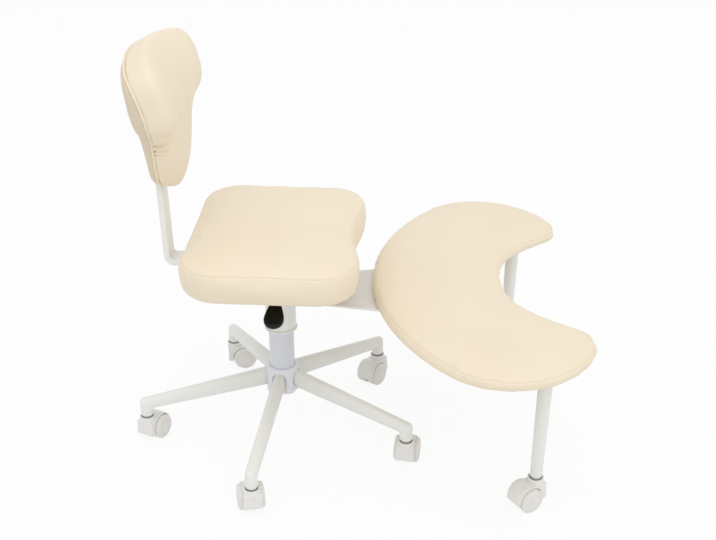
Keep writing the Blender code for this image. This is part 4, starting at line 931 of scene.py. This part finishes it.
restPad = stuffPad("stool_cushion", "footrest_pad", restLook)
trimLobes(restPad)
# the seam cord is coloured with painted groove shade
settle(sewSeam(restPad, restLook), "footrest", seamCordPaintedShade, smooth=80)
settle(restPad, "footrest", fauxLeather, ["stool_cushion"], smooth=80)
print("footrest pad made:", len(restPad.data.polygons), "faces")

backLook = {"voxel": 0.0038, "smooth": 10, "plan": 0, "under": (-0.96, 0.06, -0.2),
            "fuller": 0.0006, "side": 0.0, "low": 0.0, "settle": 5,
            "soften": {"near": 0.006, "far": 0.022, "rounds": 40}}
backPad = stuffPad("back_cushion", "back_pad", backLook)

# gathers at the waist, where the cover is pulled round the inward curve: start, end and depth in mm
# a ridge stands beside each, and a pucker ends the longest: its place, depth and width in mm
gathers = {"lines": [((-0.3480, -0.0840, 0.6605), (-0.3188, -0.0873, 0.6644), 6.0),
                     ((-0.3480, -0.0772, 0.6491), (-0.3123, -0.0834, 0.6516), 4.2),
                     ((-0.3480, -0.0755, 0.6410), (-0.3307, -0.0783, 0.6417), 2.6)],
           "wide": 2.4, "fade": 1.15, "ridge": 0.45, "ridgeAt": 5.5, "ridgeWide": 2.4,
           "pucker": ((-0.3217, -0.0868, 0.6653), 2.6, 7.0), "puckerSharp": 1.6}


def addGathers(pad):
    co, no = vertexArrays(pad)
    local = np.array([list(seatSpot.inverted() @ Vector(p)) for p in co])
    shift = np.zeros(len(co))
    for side in (1, -1):
        flip = np.array([1.0, side, 1.0])
        for a, b, deep in gathers["lines"]:
            a, b = (np.array(list(seatSpot.inverted() @ Vector(p))) * flip for p in (a, b))
            run = b - a
            t = np.clip((local - a) @ run / (run @ run), 0, 1)
            gap = np.linalg.norm(local - (a + t[:, None] * run), axis=1) * 1000
            fade = np.clip(gathers["fade"] - t ** 3, 0, 1)
            shift -= deep * fade * np.exp(-(gap / gathers["wide"]) ** 2)
            beside = (gap - gathers["ridgeAt"]) / gathers["ridgeWide"]
            shift += gathers["ridge"] * deep * fade * np.exp(-beside ** 2)
        spot, deep, wide = gathers["pucker"]
        spot = np.array(list(seatSpot.inverted() @ Vector(spot))) * flip
        gap = np.linalg.norm(local - spot, axis=1) * 1000
        shift -= deep * np.exp(-(gap / wide * gathers["puckerSharp"]) ** 2)
    setVertices(pad, co + no * (shift / 1000)[:, None])


addGathers(backPad)
settle(backPad, "seat", fauxLeather, ["back_cushion"], smooth=80)
print("back pad made:", len(backPad.data.polygons), "faces")

# the board behind the pad, covered with the same hide, in the copy darkened with painted shade
shellLook = {"voxel": 0.0028, "smooth": 5, "piping": 0.0025}
shell = copyOfNode("back_panel", "back_shell")
applyModifier(shell, "REMESH", mode="VOXEL", voxel_size=shellLook["voxel"])
applyModifier(shell, "SMOOTH", factor=0.5, iterations=shellLook["smooth"])
settle(shell, "seat", fauxLeatherPaintedShade, ["back_panel"], smooth=80)


# the rim's edges are those between a face to the front and a side, apart from the slot for the bar
pipingLook = {"leanLow": 0.05, "leanMore": 0.35, "leanFrom": 0.65, "leanOver": 0.12, "aside": -0.061,
              "slotHalf": 0.026, "slotTop": 0.655, "front": 0.75, "side": 0.45, "flat": 0.5}


def makePiping():
    # the front rim of the board, drawn as a cord under the hide
    s = pipingLook
    rim = copyOfNode("back_panel", "back_piping")
    dissolveFlats(rim, s["flat"])
    work = bmesh.new()
    work.from_mesh(rim.data)
    drops = []
    for edge in work.edges:
        keep = False
        if len(edge.link_faces) == 2:
            high = min(max((edge.verts[0].co.z - s["leanFrom"]) / s["leanOver"], 0), 1)
            lean = s["leanLow"] + s["leanMore"] * high
            front = Vector((math.cos(lean), s["aside"], math.sin(lean))).normalized()
            facing = sorted(f.normal.dot(front) for f in edge.link_faces)
            middle = (edge.verts[0].co + edge.verts[1].co) / 2
            inSlot = abs(middle.y) < s["slotHalf"] and middle.z < s["slotTop"]
            keep = facing[1] > s["front"] and facing[0] < s["side"] and not inSlot
        if not keep:
            drops.append(edge)
    bmesh.ops.delete(work, geom=drops, context="EDGES")
    bmesh.ops.delete(work, geom=list(work.faces), context="FACES_ONLY")
    bmesh.ops.delete(work, geom=[v for v in work.verts if not v.link_edges], context="VERTS")
    work.to_mesh(rim.data)
    work.free()
    return roundCord(rim, shellLook["piping"])


piping = makePiping()
settle(piping, "seat", fauxLeather, smooth=80)
print("back shell and piping made")


# finishes of the solids that stay

keptFinish = {"gas_lift_piston_rod": zincSteel, "gas_lift_clip": zincSteel, "release_button": zincSteel,
              "stool_sleeve_liner": bearingNylon, "stool_board": plywood, "seat_board": plywood}
for name, finish in keptFinish.items():
    nodes[name].data.materials.clear()
    nodes[name].data.materials.append(finish)


# floor, backdrop and light

studio = {"floor": 14.0, "floorZ": -0.0004, "paper": "#F4F4F4", "paperRough": 0.9, "world": 0.84, "camera": 1.0,
          "glow": 0.9}


def seenDirectly(tree):
    # 1 for what the camera sees, straight or mirrored, so that the ground goes white there
    path = addNode(tree, "ShaderNodeLightPath")
    return addNode(tree, "ShaderNodeMath", {"operation": "MAXIMUM"},
                   {0: path.outputs["Is Camera Ray"], 1: path.outputs["Is Glossy Ray"]}).outputs[0]


clearPick()
bpy.ops.mesh.primitive_plane_add(size=studio["floor"], location=(0, 0, studio["floorZ"]))
floor = bpy.context.object
floor.name = "studio_floor"
paper = bpy.data.materials.new("white_backdrop_paper")
paper.use_nodes = True
tree = paper.node_tree
shader = tree.nodes["Principled BSDF"]
shader.inputs["Base Color"].default_value = linearColour(studio["paper"])
shader.inputs["Roughness"].default_value = studio["paperRough"]
share = addNode(tree, "ShaderNodeMath", {"operation": "MULTIPLY", 1: studio["glow"]}, {0: seenDirectly(tree)})
glow = addNode(tree, "ShaderNodeEmission", {"Color": (1, 1, 1, 1), "Strength": 1.0})
blend = addNode(tree, "ShaderNodeMixShader", {}, {0: share.outputs[0], 1: shader.outputs[0], 2: glow.outputs[0]})
tree.links.new(blend.outputs[0], tree.nodes["Material Output"].inputs["Surface"])
floor.data.materials.append(paper)

world = bpy.data.worlds.new("soft_studio")
bpy.context.scene.world = world
world.use_nodes = True
tree = world.node_tree
level = addNode(tree, "ShaderNodeMapRange", {"To Min": studio["world"], "To Max": studio["camera"]},
                {"Value": seenDirectly(tree)})
tree.links.new(level.outputs[0], tree.nodes["Background"].inputs["Strength"])
tree.nodes["Background"].inputs["Color"].default_value = (1, 1, 1, 1)

lamps = {"keyLight": {"power": 17.0, "size": 2.4, "place": (-0.3, -1.1, 2.8), "target": (0, 0, 0.35)},
         "fillLight": {"power": 7.0, "size": 2.6, "place": (2.2, -1.4, 1.9), "target": (0, 0, 0.3)}}
for name, look in lamps.items():
    lamp = bpy.data.objects.new(name, bpy.data.lights.new(name, "AREA"))
    lamp.data.energy = look["power"]
    lamp.data.size = look["size"]
    lamp.location = look["place"]
    aim = Vector(look["place"]) - Vector(look["target"])
    lamp.rotation_euler = aim.to_track_quat("Z", "Y").to_euler()
    bpy.context.scene.collection.objects.link(lamp)
print("studio set")
